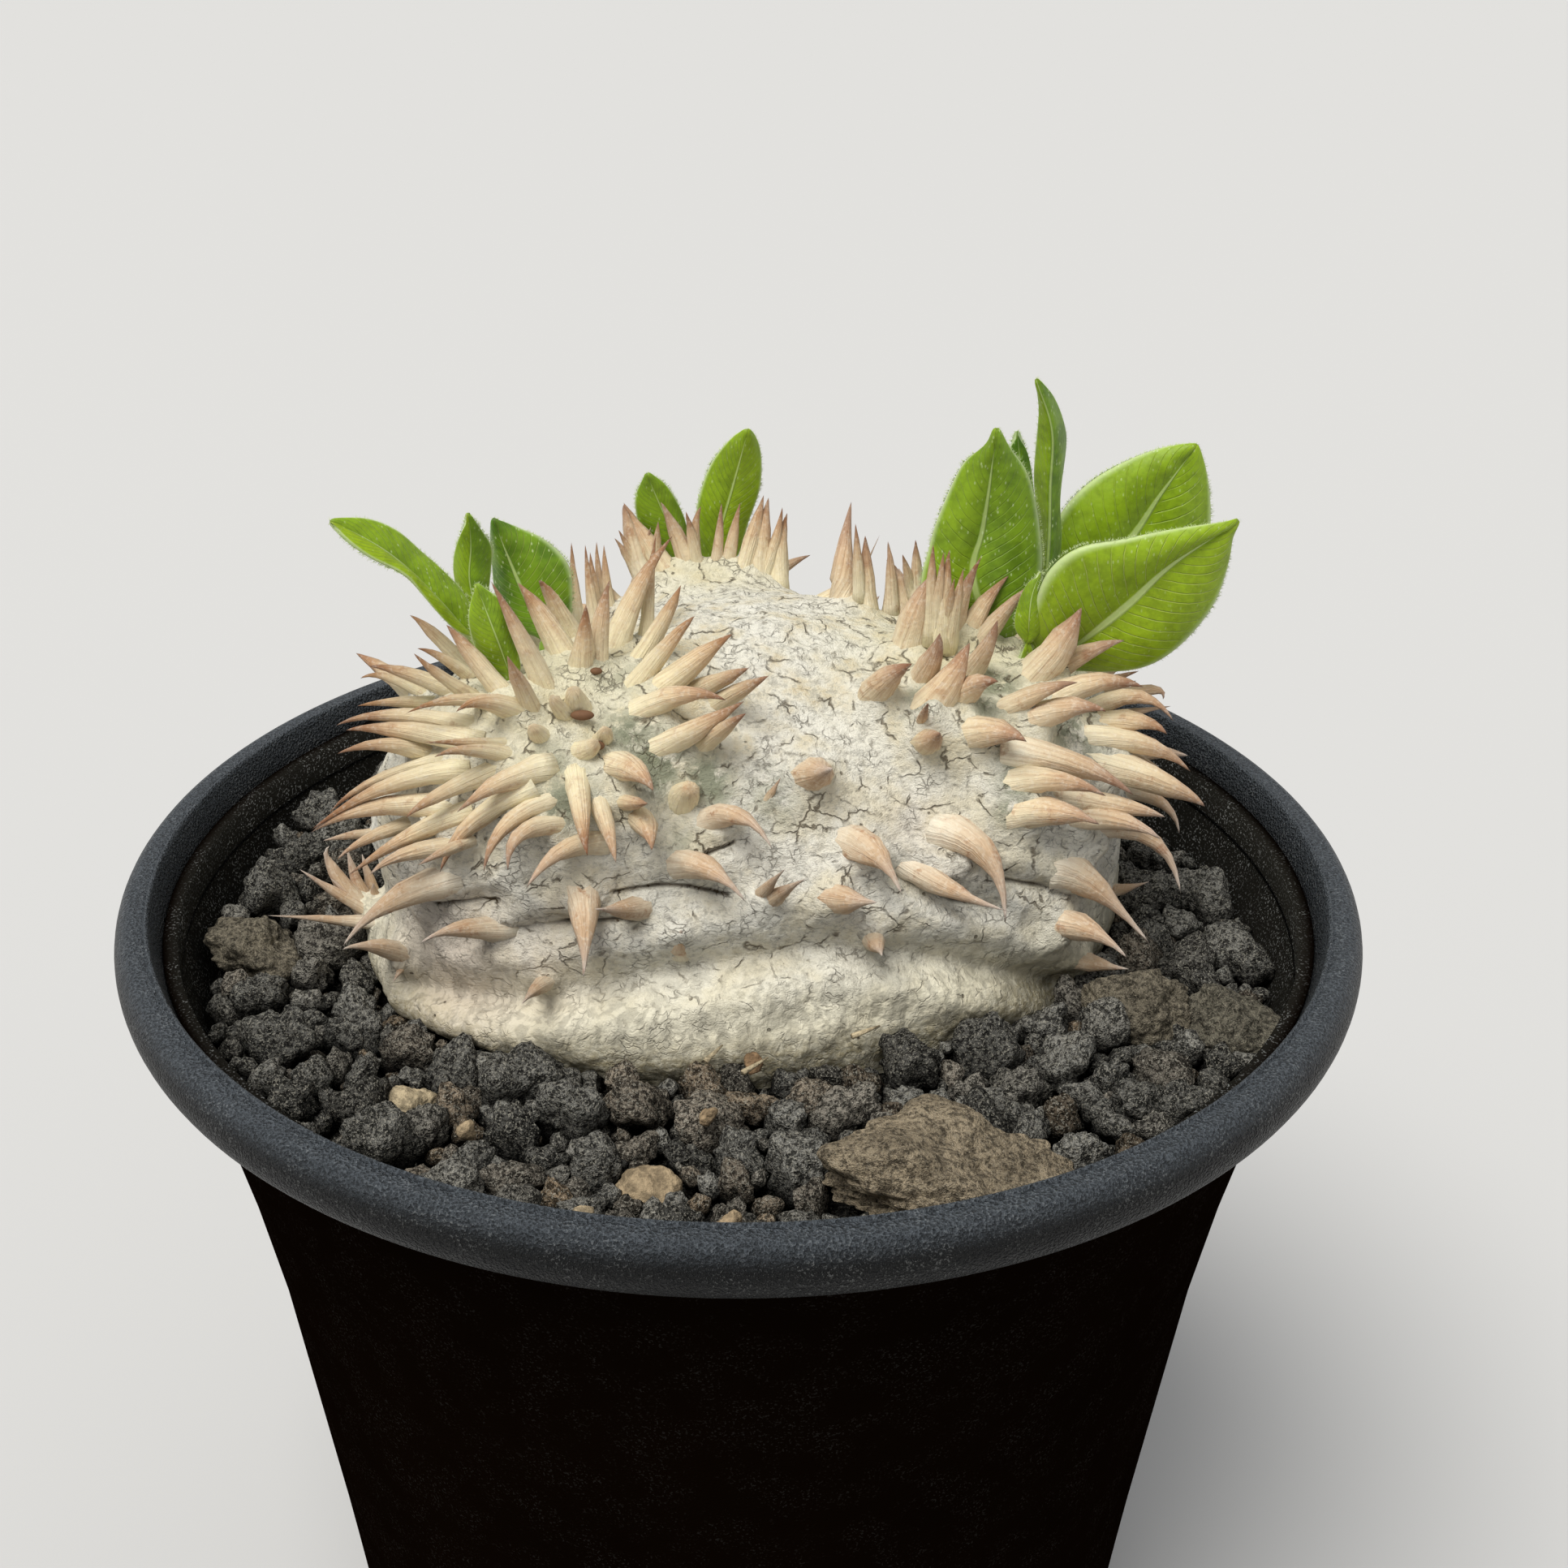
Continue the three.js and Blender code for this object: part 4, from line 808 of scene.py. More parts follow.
def lathe(profile, steps):
    """A closed profile of radii and heights spun about the Z axis."""
    bm = bmesh.new()
    verts = [bm.verts.new((radius, 0, height)) for radius, height in profile]
    edges = [bm.edges.new(pair) for pair in zip(verts, verts[1:])]
    bmesh.ops.spin(bm, geom=verts + edges, cent=(0, 0, 0), axis=(0, 0, 1), angle=2 * math.pi,
                   steps=steps, use_merge=True)
    bmesh.ops.remove_doubles(bm, verts=bm.verts, dist=1e-4)
    bmesh.ops.recalc_face_normals(bm, faces=bm.faces)
    return bm


# Pot


def wall_radius(depth):
    """The wall's outer radius at a depth below the middle of the lip."""
    return float(np.interp(depth, [*WALL_DEPTHS, LIP_Z], [*WALL_RADII, POT_BASE_RADIUS]))


def wall_profile():
    """From the middle of the base, out and up the wall to inside the lip, and down again inside."""
    profile = [(0, 0)] + [(POT_BASE_RADIUS + out, height) for out, height in BASE_CORNER]
    for depth in np.linspace(LIP_Z - 4, 0, 17):
        profile.append((wall_radius(depth), LIP_Z - depth))
    for depth in (0, 3, 4.5, 6.5, 10, 20, 32, 60, 80):
        profile.append((wall_radius(depth) - WALL, LIP_Z - depth))
    return profile + [(POT_BASE_RADIUS - WALL - 0.6, FLOOR), (0, FLOOR)]


def lip_profile():
    """Round the rolled lip, with a fine raised line along the inner edge of its top."""
    roll = LIP_RADIUS - LIP_HALF_WIDTH
    profile = [(wall_radius(3), LIP_Z - 3.1), (roll - 1.1, LIP_Z - 2.75)]
    for angle in np.radians(np.arange(-84, 97, 12)):
        profile.append((roll + LIP_HALF_WIDTH * math.cos(angle), LIP_Z + LIP_HALF_HEIGHT * math.sin(angle)))
    inner = roll - LIP_HALF_WIDTH
    profile += [(inner + out, POT_HEIGHT - down) for out, down in LIP_LINE]
    for depth in (0.6, 1.8, 3):
        profile.append((wall_radius(3) - WALL - 0.1 + (3 - depth) * 0.5, LIP_Z - depth))
    return [*profile, profile[0]]


def drain_cutter():
    bm = bmesh.new()
    middles = [(0, 0)]
    for angle in np.arange(DRAIN_HOLES) * 2 * math.pi / DRAIN_HOLES:
        middles.append((DRAIN_RING_RADIUS * math.cos(angle), DRAIN_RING_RADIUS * math.sin(angle)))
    for x, y in middles:
        bmesh.ops.create_cone(bm, segments=32, radius1=DRAIN_HOLE_RADIUS, radius2=DRAIN_HOLE_RADIUS,
                              depth=FLOOR * 4, cap_ends=True, matrix=Matrix.Translation((x, y, 0)))
    return add_object("drain_cutter", in_metres("drain_cutter", bm))


def plastic_finish(name, colour, gloss, scuffs, grain):
    finish = Finish(name)
    place = finish.object_place
    inside = finish.attribute("inside")
    cloud = finish.noise(place, 60, 3)
    stipple = finish.noise(place, 4600, 1, 0.6)
    dust = stipple.rise(0.58, 0.68) * (finish.noise(place, 240, 4, 0.7).rise(0.42, 0.62) + inside * 0.4)
    base = finish.mix(cloud, colour, tuple(c * 1.5 for c in colour))
    # Painted highlight: the upper side of the lip is made lighter, with glints through the stipple, where
    # light falls on it.
    painted_glint = (finish.attribute("upper") * (0.3 + stipple.rise(0.3, 0.7) * 0.6)).clamped()
    upper = finish.mix(painted_glint, base, linear(84, 90, 96))
    dusty = finish.mix(inside * 0.5, upper, linear(44, 44, 40))
    marked = finish.mix((dust * (scuffs + inside * 0.4)).clamped(), dusty, linear(150, 152, 150))
    finish.surface(Base_Color=marked, Roughness=0.34 + cloud * 0.08, Specular_IOR_Level=gloss)
    finish.relief((stipple * grain, 1))
    return finish.material


def make_pot(settings):
    lip = plastic_finish("Grained lip plastic", settings.lip_colour, 0.16, 0.22, 0.5)
    bm = lathe(lip_profile(), 192)
    # Painted highlight: the attribute upper lights the top of the lip's roll in its colour.
    rise = (places(bm)[:, 2] - LIP_Z) / LIP_HALF_HEIGHT
    paint(bm, "upper", np.clip(rise * 1.5 - 0.5, 0, 1))
    new_piece("pot_lip", bm, lip, ["pot"])
    wall = plastic_finish("Black wall plastic", settings.wall_colour, 0, 0.03, 0.08)
    bm = lathe(wall_profile(), 168)
    points = places(bm)
    outer = np.array([wall_radius(depth) for depth in LIP_Z - points[:, 2]])
    paint(bm, "inside", (np.linalg.norm(points[:, :2], axis=1) < outer - WALL * 0.5).astype(float))
    piece = new_piece("pot_wall", bm, wall, ["pot"])
    cutter = drain_cutter()
    modify(piece, "BOOLEAN", operation="DIFFERENCE", solver="EXACT", object=cutter)
    bpy.context.view_layer.update()
    shape = piece.evaluated_get(bpy.context.evaluated_depsgraph_get())
    piece.data = bpy.data.meshes.new_from_object(shape)
    piece.modifiers.clear()
    bpy.data.objects.remove(cutter)


# Grit


def worn(directions, draw):
    """How far a rough grain reaches along directions: a ball with flat sides worn into it."""
    normals = unit(draw.normal(0, 1, (WORN_SIDES, 3)))
    depths = draw.uniform(0.6, 0.98, WORN_SIDES)
    pressed = np.maximum(directions @ normals.T / depths, 0)
    return np.minimum(np.maximum((pressed ** 10).sum(axis=1), 1e-9) ** -0.1, 1.12)


def lump(bm, blank, centre, half, turn, knobs, draw):
    """A rough grain or stone: a worn ball covered in knobs, pressed to three half sizes and turned."""
    verts = add_copy(bm, blank)
    directions = unit([vert.co for vert in verts])
    shift = Vector(draw.uniform(0, 90, 3))
    reach = worn(directions, draw)
    for vert, out, far in zip(verts, directions, reach):
        out = Vector(out)
        coarse = noise.noise(out * 1.5 + shift)
        large = 0.5 - noise.voronoi(out * 2.1 + shift)[0][0]
        small = 0.5 - noise.voronoi(out * 5.2 + shift)[0][0]
        far += knobs * (coarse + 1.1 * large + 0.7 * small)
        vert.co = Vector((out.x * half[0], out.y * half[1], out.z * half[2])) * far
    bmesh.ops.rotate(bm, cent=(0, 0, 0), matrix=Euler(turn).to_matrix(), verts=verts)
    bmesh.ops.translate(bm, vec=centre, verts=verts)
    return verts


def ball(subdivisions):
    bm = bmesh.new()
    bmesh.ops.create_icosphere(bm, subdivisions=subdivisions, radius=1)
    return finished_mesh("ball", bm)


def bit_places():
    return [at_height(*pixel, FILL_TOP + BIT_HEIGHT) for pixel, *_ in PEBBLE_BITS]


def stone_room():
    """Middles and half sizes of the stones and pebbles that lie on the grit."""
    rooms = []
    for name, *_ in STONES + PEBBLES:
        low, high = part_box(name)
        rooms.append((np.array((low + high) / 2 / MM), np.array((high - low) / 2 / MM)))
    return rooms + [(place, np.full(3, radius)) for place, (_, radius, _) in zip(bit_places(), PEBBLE_BITS)]


def heap(x, y):
    """How much higher the grit lies towards the left and the back of the pot."""
    left = np.clip((-x - 26) / 20, 0, 1)
    back = np.clip((y + 6) / 18, 0, 1)
    return HEAP * left * back


def grain_places(settings):
    """Middles and radii of the grains, largest first, clear of the pot, the caudex and the stones."""
    draw = np.random.default_rng(4)
    rooms = stone_room()
    wall = wall_radius(LIP_Z - FILL_TOP) - WALL
    middles = np.zeros((0, 3))
    radii = np.zeros(0)
    for share, tries, tight in GRAIN_LAYERS:
        spread = draw.uniform(0, 1, (tries, 4))
        size = settings.large_grain / MM * share * (0.8 + 0.45 * spread[:, 0])
        reach = (wall - size * 0.86) * np.sqrt(spread[:, 1])
        angle = spread[:, 2] * 2 * math.pi
        x, y = reach * np.cos(angle), reach * np.sin(angle)
        height = FILL_TOP + heap(x, y) + 0.3 + size * 0.36 + spread[:, 3] * 1.2
        points = np.stack([x, y, height], axis=1)
        clear = caudex_distance(points) > size * 0.66
        for middle, half in rooms:
            clear &= np.linalg.norm((points - middle) / (half + size[:, None] * 0.6), axis=1) > 1
        for point, radius in zip(points[clear], size[clear]):
            if not len(radii) or np.all(np.linalg.norm(middles - point, axis=1) > tight * (radii + radius)):
                middles = np.vstack([middles, point])
                radii = np.append(radii, radius)
    return middles, radii


def shaded(finish, colour, factor, low, high):
    """A colour made darker or lighter with a factor from 0 to 1."""
    return finish.mix(1, colour, finish.ramp(factor, (0, (low,) * 3), (1, (high,) * 3)), "MULTIPLY")


def lava_finish(settings):
    finish = Finish("Porous black lava")
    place = finish.object_place
    knobs = finish.noise(place, 1900, 3, 0.8)
    fine = finish.noise(place, 4800, 1, 0.75)
    body = finish.mix(finish.attribute("brown"), settings.grain_colour, settings.brown_colour)
    toned = shaded(finish, body, finish.attribute("tone"), 0.4, 1.4)
    granular = shaded(finish, toned, knobs.rise(0.42, 0.6), 0.2, 1.4)
    speckled = finish.mix(fine.rise(0.54, 0.64) * 0.4, granular, linear(188, 184, 170))
    # Painted shade: each grain is darker low down, where it lies in the shade of the gaps between grains.
    painted_gap_shade = shaded(finish, speckled, finish.attribute("raised").rise(-0.45, 0.85), 0.02, 1.1)
    finish.surface(Base_Color=painted_gap_shade, Roughness=1, Specular_IOR_Level=0.05)
    finish.relief((knobs * 0.9 + fine * 0.3, 1))
    return finish.material


def grit_bed(lava):
    """The fill that the grains lie on, with an uneven top that is dark as painted shade between the grains.
    """
    foot = LIP_Z - FLOOR - 0.5
    profile = [(0, FLOOR + 0.4), (wall_radius(foot) - WALL - 1.2, FLOOR + 0.4)]
    for depth in (60, 32, 20, 10):
        profile.append((wall_radius(depth) - WALL - 0.35, LIP_Z - depth))
    rim = wall_radius(LIP_Z - FILL_TOP) - WALL - 0.35
    profile += [(rim * share, FILL_TOP - 0.4) for share in np.linspace(1, 0, 22)]
    bm = lathe(profile, 96)
    for vert in bm.verts:
        if vert.co.z > FILL_TOP - 1:
            vert.co.z += 0.5 * noise.noise(vert.co * 0.9) + heap(vert.co.x, vert.co.y)
    # Tone 0 makes the bed the darkest grit: painted shade where it shows between the grains.
    paint(bm, "tone", np.zeros(len(bm.verts)))
    paint(bm, "brown", np.zeros(len(bm.verts)))
    new_piece("grit_bed", bm, lava, ["grit"])


def make_grit(settings):
    lava = lava_finish(settings)
    grit_bed(lava)
    draw = np.random.default_rng(9)
    middles, radii = grain_places(settings)
    large = settings.large_grain / MM
    high = math.inf
    for name, detail, least in GRAIN_KINDS:
        low = large * least
        blank = ball(detail)
        chosen = (radii > low) & (radii <= high)
        bm = bmesh.new()
        layers = [float_layer(bm, "tone"), float_layer(bm, "brown")]
        raised = float_layer(bm, "raised")
        for middle, radius in zip(middles[chosen], radii[chosen]):
            half = radius * np.array([1.2, draw.uniform(0.82, 1.08), draw.uniform(0.72, 0.98)])
            verts = lump(bm, blank, middle, half, draw.uniform(0, 2 * math.pi, 3), 0.28, draw)
            for layer, value in zip(layers, (draw.uniform(0, 1), draw.uniform(0, 1) ** 5)):
                set_layer(verts, layer, value)
            # Height within the grain, for the painted shade low down on it.
            for vert in verts:
                vert[raised] = (vert.co.z - middle[2]) / radius
        new_piece(name, bm, lava, ["grit"])
        high = low


def stone_finish(settings):
    finish = Finish("Brown-grey lava stone")
    place = finish.object_place
    knobs = finish.noise(place, 1900, 4, 0.8)
    fine = finish.noise(place, 4800, 1, 0.75)
    body = finish.mix(finish.attribute("brown"), settings.grey_colour, settings.stone_colour)
    clouded = shaded(finish, body, finish.noise(place, 260, 3).rise(0.35, 0.65), 0.72, 1.12)
    granular = shaded(finish, clouded, knobs.rise(0.38, 0.6), 0.28, 1.3)
    speckled = finish.mix(fine.rise(0.54, 0.66) * 0.3, granular, linear(206, 194, 172))
    finish.surface(Base_Color=speckled, Roughness=0.95, Specular_IOR_Level=0.15)
    finish.relief((knobs * 1.4 + fine * 0.3, 1))
    return finish.material


def pebble_finish(settings):
    finish = Finish("Tan pumice")
    place = finish.object_place
    coarse = finish.noise(place, 900, 5, 0.7)
    tan = finish.mix(finish.attribute("brown"), linear(138, 112, 84), settings.pebble_colour)
    worn_tan = shaded(finish, tan, coarse.rise(0.36, 0.66), 0.45, 1.15)
    finish.surface(Base_Color=worn_tan, Roughness=0.9, Specular_IOR_Level=0.2)
    finish.relief((coarse * 0.5, 1))
    return finish.material


def make_stones(settings):
    stone = stone_finish(settings)
    pumice = pebble_finish(settings)
    rows = [(*row, ball(6), stone, "_rough", "stone_grey") for row in STONES]
    rows += [(*row, ball(5), pumice, "_pumice", "pebble_tan") for row in PEBBLES]
    for name, seed, knobs, brown, grow, blank, material, ending, slot in rows:
        low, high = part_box(name)
        bm = bmesh.new()
        half = np.array((high - low) / 2 / MM) * grow
        lump(bm, blank, (low + high) / 2 / MM, half, (0, 0, 0), knobs, np.random.default_rng(seed))
        paint(bm, "brown", np.full(len(bm.verts), brown))
        new_piece(name + ending, bm, material, [name])
    draw = np.random.default_rng(17)
    bm = bmesh.new()
    brown = float_layer(bm, "brown")
    for place, (_, radius, warmth) in zip(bit_places(), PEBBLE_BITS):
        half = radius * draw.uniform(0.8, 1.15, 3)
        set_layer(lump(bm, ball(4), place, half, draw.uniform(0, 3, 3), 0.14, draw), brown, warmth)
    for start, end in STRAW_BITS:
        foot, tip = (at_height(*pixel, FILL_TOP + STRAW_HEIGHT) for pixel in (start, end))
        turn = Vector(tip - foot).to_track_quat("Z", "X").to_matrix().to_4x4()
        span = np.linalg.norm(tip - foot)
        straw = bmesh.ops.create_cone(bm, segments=6, radius1=0.26, radius2=0.08, depth=span, cap_ends=True,
                                      matrix=Matrix.Translation(Vector((foot + tip) / 2)) @ turn)
        set_layer(straw["verts"], brown, 1)
    new_piece("grit_bits", bm, pumice)


# Caudex

# Grey-green and olive patches in the bark, and pinkish ones: pixel, reach in millimetres, strength
LICHEN = [
    ((770, 905), 2.2, 0.7), ((805, 945), 2.6, 0.9), ((870, 962), 2.0, 0.9), ((700, 985), 2.2, 0.8),
    ((676, 940), 1.6, 0.6), ((880, 975), 1.8, 0.7), ((1240, 935), 1.1, 1.0), ((1239, 965), 1.0, 1.0),
    ((1238, 1000), 1.1, 0.9), ((1222, 850), 2.0, 0.8), ((1205, 880), 1.6, 0.6), ((1125, 880), 1.3, 0.7),
    ((1310, 905), 2.6, 0.7), ((840, 1040), 1.6, 0.4), ((950, 985), 2.4, 0.4), ((1150, 840), 1.4, 0.5),
    ((1100, 1070), 1.2, 0.3), ((760, 840), 2.0, 0.35),
]
BLUSH = [((560, 1180), 7, 0.8), ((660, 1180), 5, 0.4), ((1130, 1020), 3, 0.35), ((700, 1125), 3, 0.4)]


def spot_field(points, spots):
    """How strong patches are at points: the strongest of round spots with soft edges."""
    centres = on_caudex([pixel for pixel, _, _ in spots])
    field = np.zeros(len(points))
    for centre, (_, reach, strength) in zip(centres, spots):
        field = np.maximum(field, strength * bell(np.linalg.norm(points - centre, axis=1) / reach))
    return field


def bark_finish(settings):
    finish = Finish("Cracked pale bark")
    place = finish.object_place
    lichen, felt, crown, hem, soil, crease, blush = (
        finish.attribute(name) for name in ("lichen", "felt", "crown", "hem", "soil", "crease", "blush"))
    pushed = finish.warped(finish.warped(place, 330, 0.002), 1700, 0.0007)
    plates = finish.cells(finish.scaled(pushed, (1, 1, 1.4)), 340, "DISTANCE_TO_EDGE")
    slivers = finish.cells(finish.scaled(pushed, (1.1, 1, 1.6)), 1000, "DISTANCE_TO_EDGE")
    patches = finish.noise(place, 260, 3, 0.6)
    worn_lines = finish.noise(place, 620, 2).rise(0.4, 0.6)
    cracks = (1 - plates.rise(0.0, 0.05)) * patches.rise(0.4, 0.54) * worn_lines * (1 - hem * 0.75)
    fine_cracks = (1 - slivers.rise(0.0, 0.1)) * patches.rise(0.52, 0.4) * (1 - worn_lines) * (1 - hem * 0.6)
    wrinkles = finish.noise(finish.scaled(pushed, (1, 1, 0.14)), 1300, 2)
    flakes = finish.noise(finish.scaled(place, (1, 1, 1.5)), 1250, 5, 0.78)
    cream = finish.mix(patches.rise(0.4, 0.68), settings.bark_colour, settings.shade_colour)
    flaked = shaded(finish, cream, flakes.rise(0.36, 0.52), 0.68, 1.04)
    ochre = finish.mix((patches.rise(0.5, 0.66) * crown * flakes.rise(0.42, 0.6) * 0.45).clamped(), flaked,
                       linear(206, 178, 122))
    grey = finish.mix(hem * 0.8, ochre, settings.hem_colour)
    pink = finish.mix(blush * 0.6, grey, linear(222, 200, 184))
    felted = finish.mix((felt * 0.75).clamped(), pink, settings.felt_colour)
    patch = (lichen * 1.5 * finish.noise(place, 700, 4, 0.7).rise(0.32, 0.54)).clamped()
    mossy = finish.mix(patch * 0.85, felted, finish.mix(patches, linear(118, 122, 80), linear(146, 154, 140)))
    stained = finish.mix((soil * flakes.rise(0.34, 0.6) * 0.7).clamped(), mossy, linear(140, 126, 84))
    streaked = shaded(finish, stained, (wrinkles.rise(0.42, 0.56) + (1 - hem)).clamped(), 0.74, 1)
    dots = finish.cells(place, 600)
    freckles = (1 - dots.rise(0.07, 0.12)) * patches.rise(0.53, 0.6)
    # Painted shade: the attribute crease darkens the sharp creases and the valleys of the folds, along with
    # the real cracks and freckles.
    lines = (cracks * 0.8 + fine_cracks * 0.56 + freckles * 0.75 + crease).clamped()
    cracks_and_crease_shade = finish.mix(lines, streaked, linear(88, 74, 54))
    finish.surface(Base_Color=cracks_and_crease_shade, Roughness=0.85, Specular_IOR_Level=0.25)
    finish.relief((flakes * (0.66 - hem * 0.5) - lines * 0.34 + wrinkles * hem * 0.32, 1))
    return finish.material


def refine(bm, chosen):
    """Cuts the edges of the chosen faces in half, for finer bark where it is seen or folded."""
    edges = {edge for face in bm.faces if chosen[face.index] for edge in face.edges}
    bmesh.ops.subdivide_edges(bm, edges=list(edges), cuts=1, use_grid_fill=True)
    bmesh.ops.triangulate(bm, faces=bm.faces)
    bm.verts.index_update()
    bm.faces.index_update()


def caudex_mesh(spines):
    """A fine ball drawn out to the caudex's surface, with folds and with swellings under the spines."""
    folds = fold_lines()
    bm = bmesh.new()
    bmesh.ops.create_icosphere(bm, subdivisions=7, radius=1)
    surface = out_to_caudex(unit(places(bm)))
    shown = surface[:, 2] > FILL_TOP - 1.5
    move_to(bm.verts, surface)
    buried = [face for face in bm.faces if not any(shown[vert.index] for vert in face.verts)]
    deep = list({vert for face in buried for vert in face.verts})
    bmesh.ops.dissolve_limit(bm, angle_limit=math.radians(4), verts=deep, edges=[])
    bmesh.ops.triangulate(bm, faces=bm.faces)
    bm.faces.index_update()
    middles = np.array([face.calc_center_median() for face in bm.faces])
    sight = unit(middles - EYE)
    facing = (caudex_normal(middles) * sight).sum(axis=1) < -0.25
    refine(bm, facing & (middles[:, 2] > FILL_TOP + 1))
    middles = np.array([face.calc_center_median() for face in bm.faces])
    refine(bm, crease_distance(middles, folds) < 1.1)
    points = places(bm)
    pulled = points.copy()
    for _ in range(3):
        pulled -= caudex_normal(pulled) * caudex_distance(pulled)[:, None]
    points = np.where((points[:, 2] > FILL_TOP - 1)[:, None], pulled, points)
    normals = caudex_normal(points)
    depth = fold_depth(points, folds)
    crease = bell(crease_distance(points, folds) / CREASE_WIDTH)
    moved = points + normals * (-depth - CREASE_DEPTH * crease)[:, None]
    for spine in spines:
        distance = np.linalg.norm(points - spine["root"], axis=1) / spine["radius"]
        axis = unit(spine["tip"] - spine["root"])
        collar = axis * (1.15 * bell(distance / 1.5))[:, None]
        flare = collar + normals * (0.4 * bell(distance / 2.4))[:, None]
        moved = moved + flare * spine["radius"] * (distance < 6)[:, None]
    waves = [0.34 * noise.noise(Vector(p) * 0.32) + 0.16 * noise.noise(Vector(p) * 0.9) for p in points]
    crust = [0.1 * noise.noise(Vector(p) * 2.6) for p in points]
    move_to(bm.verts, moved + normals * (np.array(waves) + crust)[:, None])
    felt = [bell(np.linalg.norm(points - centre, axis=1) / (reach * 0.6)) for centre, reach in HEADS]
    paint(bm, "felt", np.max(felt, axis=0))
    paint(bm, "lichen", spot_field(points, LICHEN))
    paint(bm, "blush", spot_field(points, BLUSH))
    paint(bm, "crown", np.clip((points[:, 2] - LIP_Z - 13) / 6, 0, 1))
    paint(bm, "hem", np.clip((LIP_Z + 3.5 - points[:, 2]) / 5, 0, 1))
    paint(bm, "soil", np.clip((LIP_Z - 2.2 - points[:, 2]) / 3, 0, 1))
    # Painted shade along the sharp creases and in the valleys of the folds.
    paint(bm, "crease", crease * 0.9 + np.clip(depth / 1.6, 0, 1) ** 2 * 0.22)
    return bm


# Spines


# Outlines of spines as share of the length and of the radius: with a belly, slender like a horn, and blunt
BELLIED = [(0, 1.6), (0.12, 1.42), (0.26, 1.22), (0.42, 1.04), (0.58, 0.8), (0.72, 0.53), (0.84, 0.3),
           (0.94, 0.13)]
HORNED = [(0, 1.7), (0.12, 1.5), (0.26, 1.28), (0.4, 1.06), (0.54, 0.76), (0.66, 0.45), (0.8, 0.24),
          (0.93, 0.11)]
BLUNT = [(0, 1.3), (0.3, 1.0), (0.5, 0.86), (0.68, 0.72), (0.8, 0.6), (0.9, 0.42), (0.97, 0.2)]

# Nubs keep the colour that a spine has low down, up to this share of its length
NUB_RIPENESS = 0.5


def spine_blank(outline):
    """A straight spine of unit radius and length on the Z axis."""
    bm = lathe([(0, 0), *((radius, height) for height, radius in outline), (0, 1)], 10)
    along = float_layer(bm, "along")
    around = bm.verts.layers.float_vector.new("around")
    for vert in bm.verts:
        vert[along] = vert.co.z * (NUB_RIPENESS if outline is BLUNT else 1)
        ring = vert.co.xy.normalized() if vert.co.xy.length > 1e-4 else Vector((0, 0))
        vert[around] = (ring.x, ring.y, vert.co.z * 0.25)
    return finished_mesh("spine_blank", bm)


def grow_spine(bm, blank, spine, draw):
    """Bends a copy of the blank along the spine's line."""
    verts = add_copy(bm, blank)
    shape = np.array([vert.co for vert in verts], float)
    axis = unit(spine["tip"] - spine["root"])
    foot = spine["root"] - axis * SPINE_SUNK
    line = bezier(foot, spine["bend"], spine["tip"], shape[:, 2])
    ahead = bezier(foot, spine["bend"], spine["tip"], shape[:, 2] + 0.02)
    heading = unit(ahead - line)
    side = unit(np.cross(heading, UPWARD))
    front = np.cross(side, heading)
    swirl = draw.uniform(0, 2 * math.pi) + shape[:, 2] * draw.uniform(-0.8, 0.8)
    x = shape[:, 0] * np.cos(swirl) - shape[:, 1] * np.sin(swirl)
    y = (shape[:, 0] * np.sin(swirl) + shape[:, 1] * np.cos(swirl)) * draw.uniform(0.8, 1)
    radius = spine["radius"] * (1 + 0.07 * draw.standard_normal(len(shape)))
    wobble = draw.normal(0, 0.09, 2) * np.sin(math.pi * shape[:, 2:]) * spine["radius"] * 2
    points = line + side * (x * radius + wobble[:, 0])[:, None] + front * (y * radius + wobble[:, 1])[:, None]
    move_to(verts, points)
    return verts


# Colours along a spine from its foot to its tip, high on a head after the felt, and low on the flanks
UPPER_SPINE = [
    (0.35, linear(234, 220, 182)), (0.62, linear(220, 190, 150)), (0.84, linear(204, 160, 112)),
    (1, linear(178, 130, 94)),
]
LOWER_SPINE = [
    (0, linear(236, 228, 208)), (0.22, linear(222, 204, 176)), (0.5, linear(208, 178, 144)),
    (0.78, linear(220, 196, 172)), (1, linear(244, 232, 220)),
]


def spine_finish(settings):
    finish = Finish("Felted spine")
    along, tone, dark, seed = (finish.attribute(name) for name in ("along", "tone", "dark", "seed"))
    place = finish.object_place
    offset = finish.node("ShaderNodeCombineXYZ", {"X": seed * 31, "Y": seed * 17, "Z": seed * 9})
    around = finish.shifted(finish.attribute("around", "Vector"), offset)
    fibre = finish.noise(finish.scaled(around, (4.5, 4.5, 3)), 1, 4, 0.75)
    blotch = finish.noise(place, 620, 5, 0.68)
    share = (along + (blotch - 0.5) * 0.4).clamped()
    upper = finish.ramp(share, (0, settings.felt_colour), *UPPER_SPINE)
    lower = finish.ramp(share, *LOWER_SPINE)
    body = finish.mix(tone, upper, lower)
    tipped = finish.mix((share.rise(0.5, 0.95) * dark * 0.95).clamped(), body, settings.tip_colour)
    streaked = finish.mix(fibre.rise(0.44, 0.66) * (0.2 + share * 0.4), tipped, linear(158, 108, 70))
    freckled = finish.mix(blotch.rise(0.56, 0.68) * (0.2 + tone * 0.4), streaked, linear(160, 106, 66))
    pale = finish.mix(finish.noise(place, 3000, 2).rise(0.5, 0.7) * 0.3, freckled, linear(238, 230, 212))
    finish.surface(Base_Color=pale, Roughness=0.8, Specular_IOR_Level=0.25, Sheen_Weight=0.1,
                   Sheen_Roughness=0.5)
    finish.relief((fibre * 0.28 + blotch * 0.3, 0.8))
    return finish.material


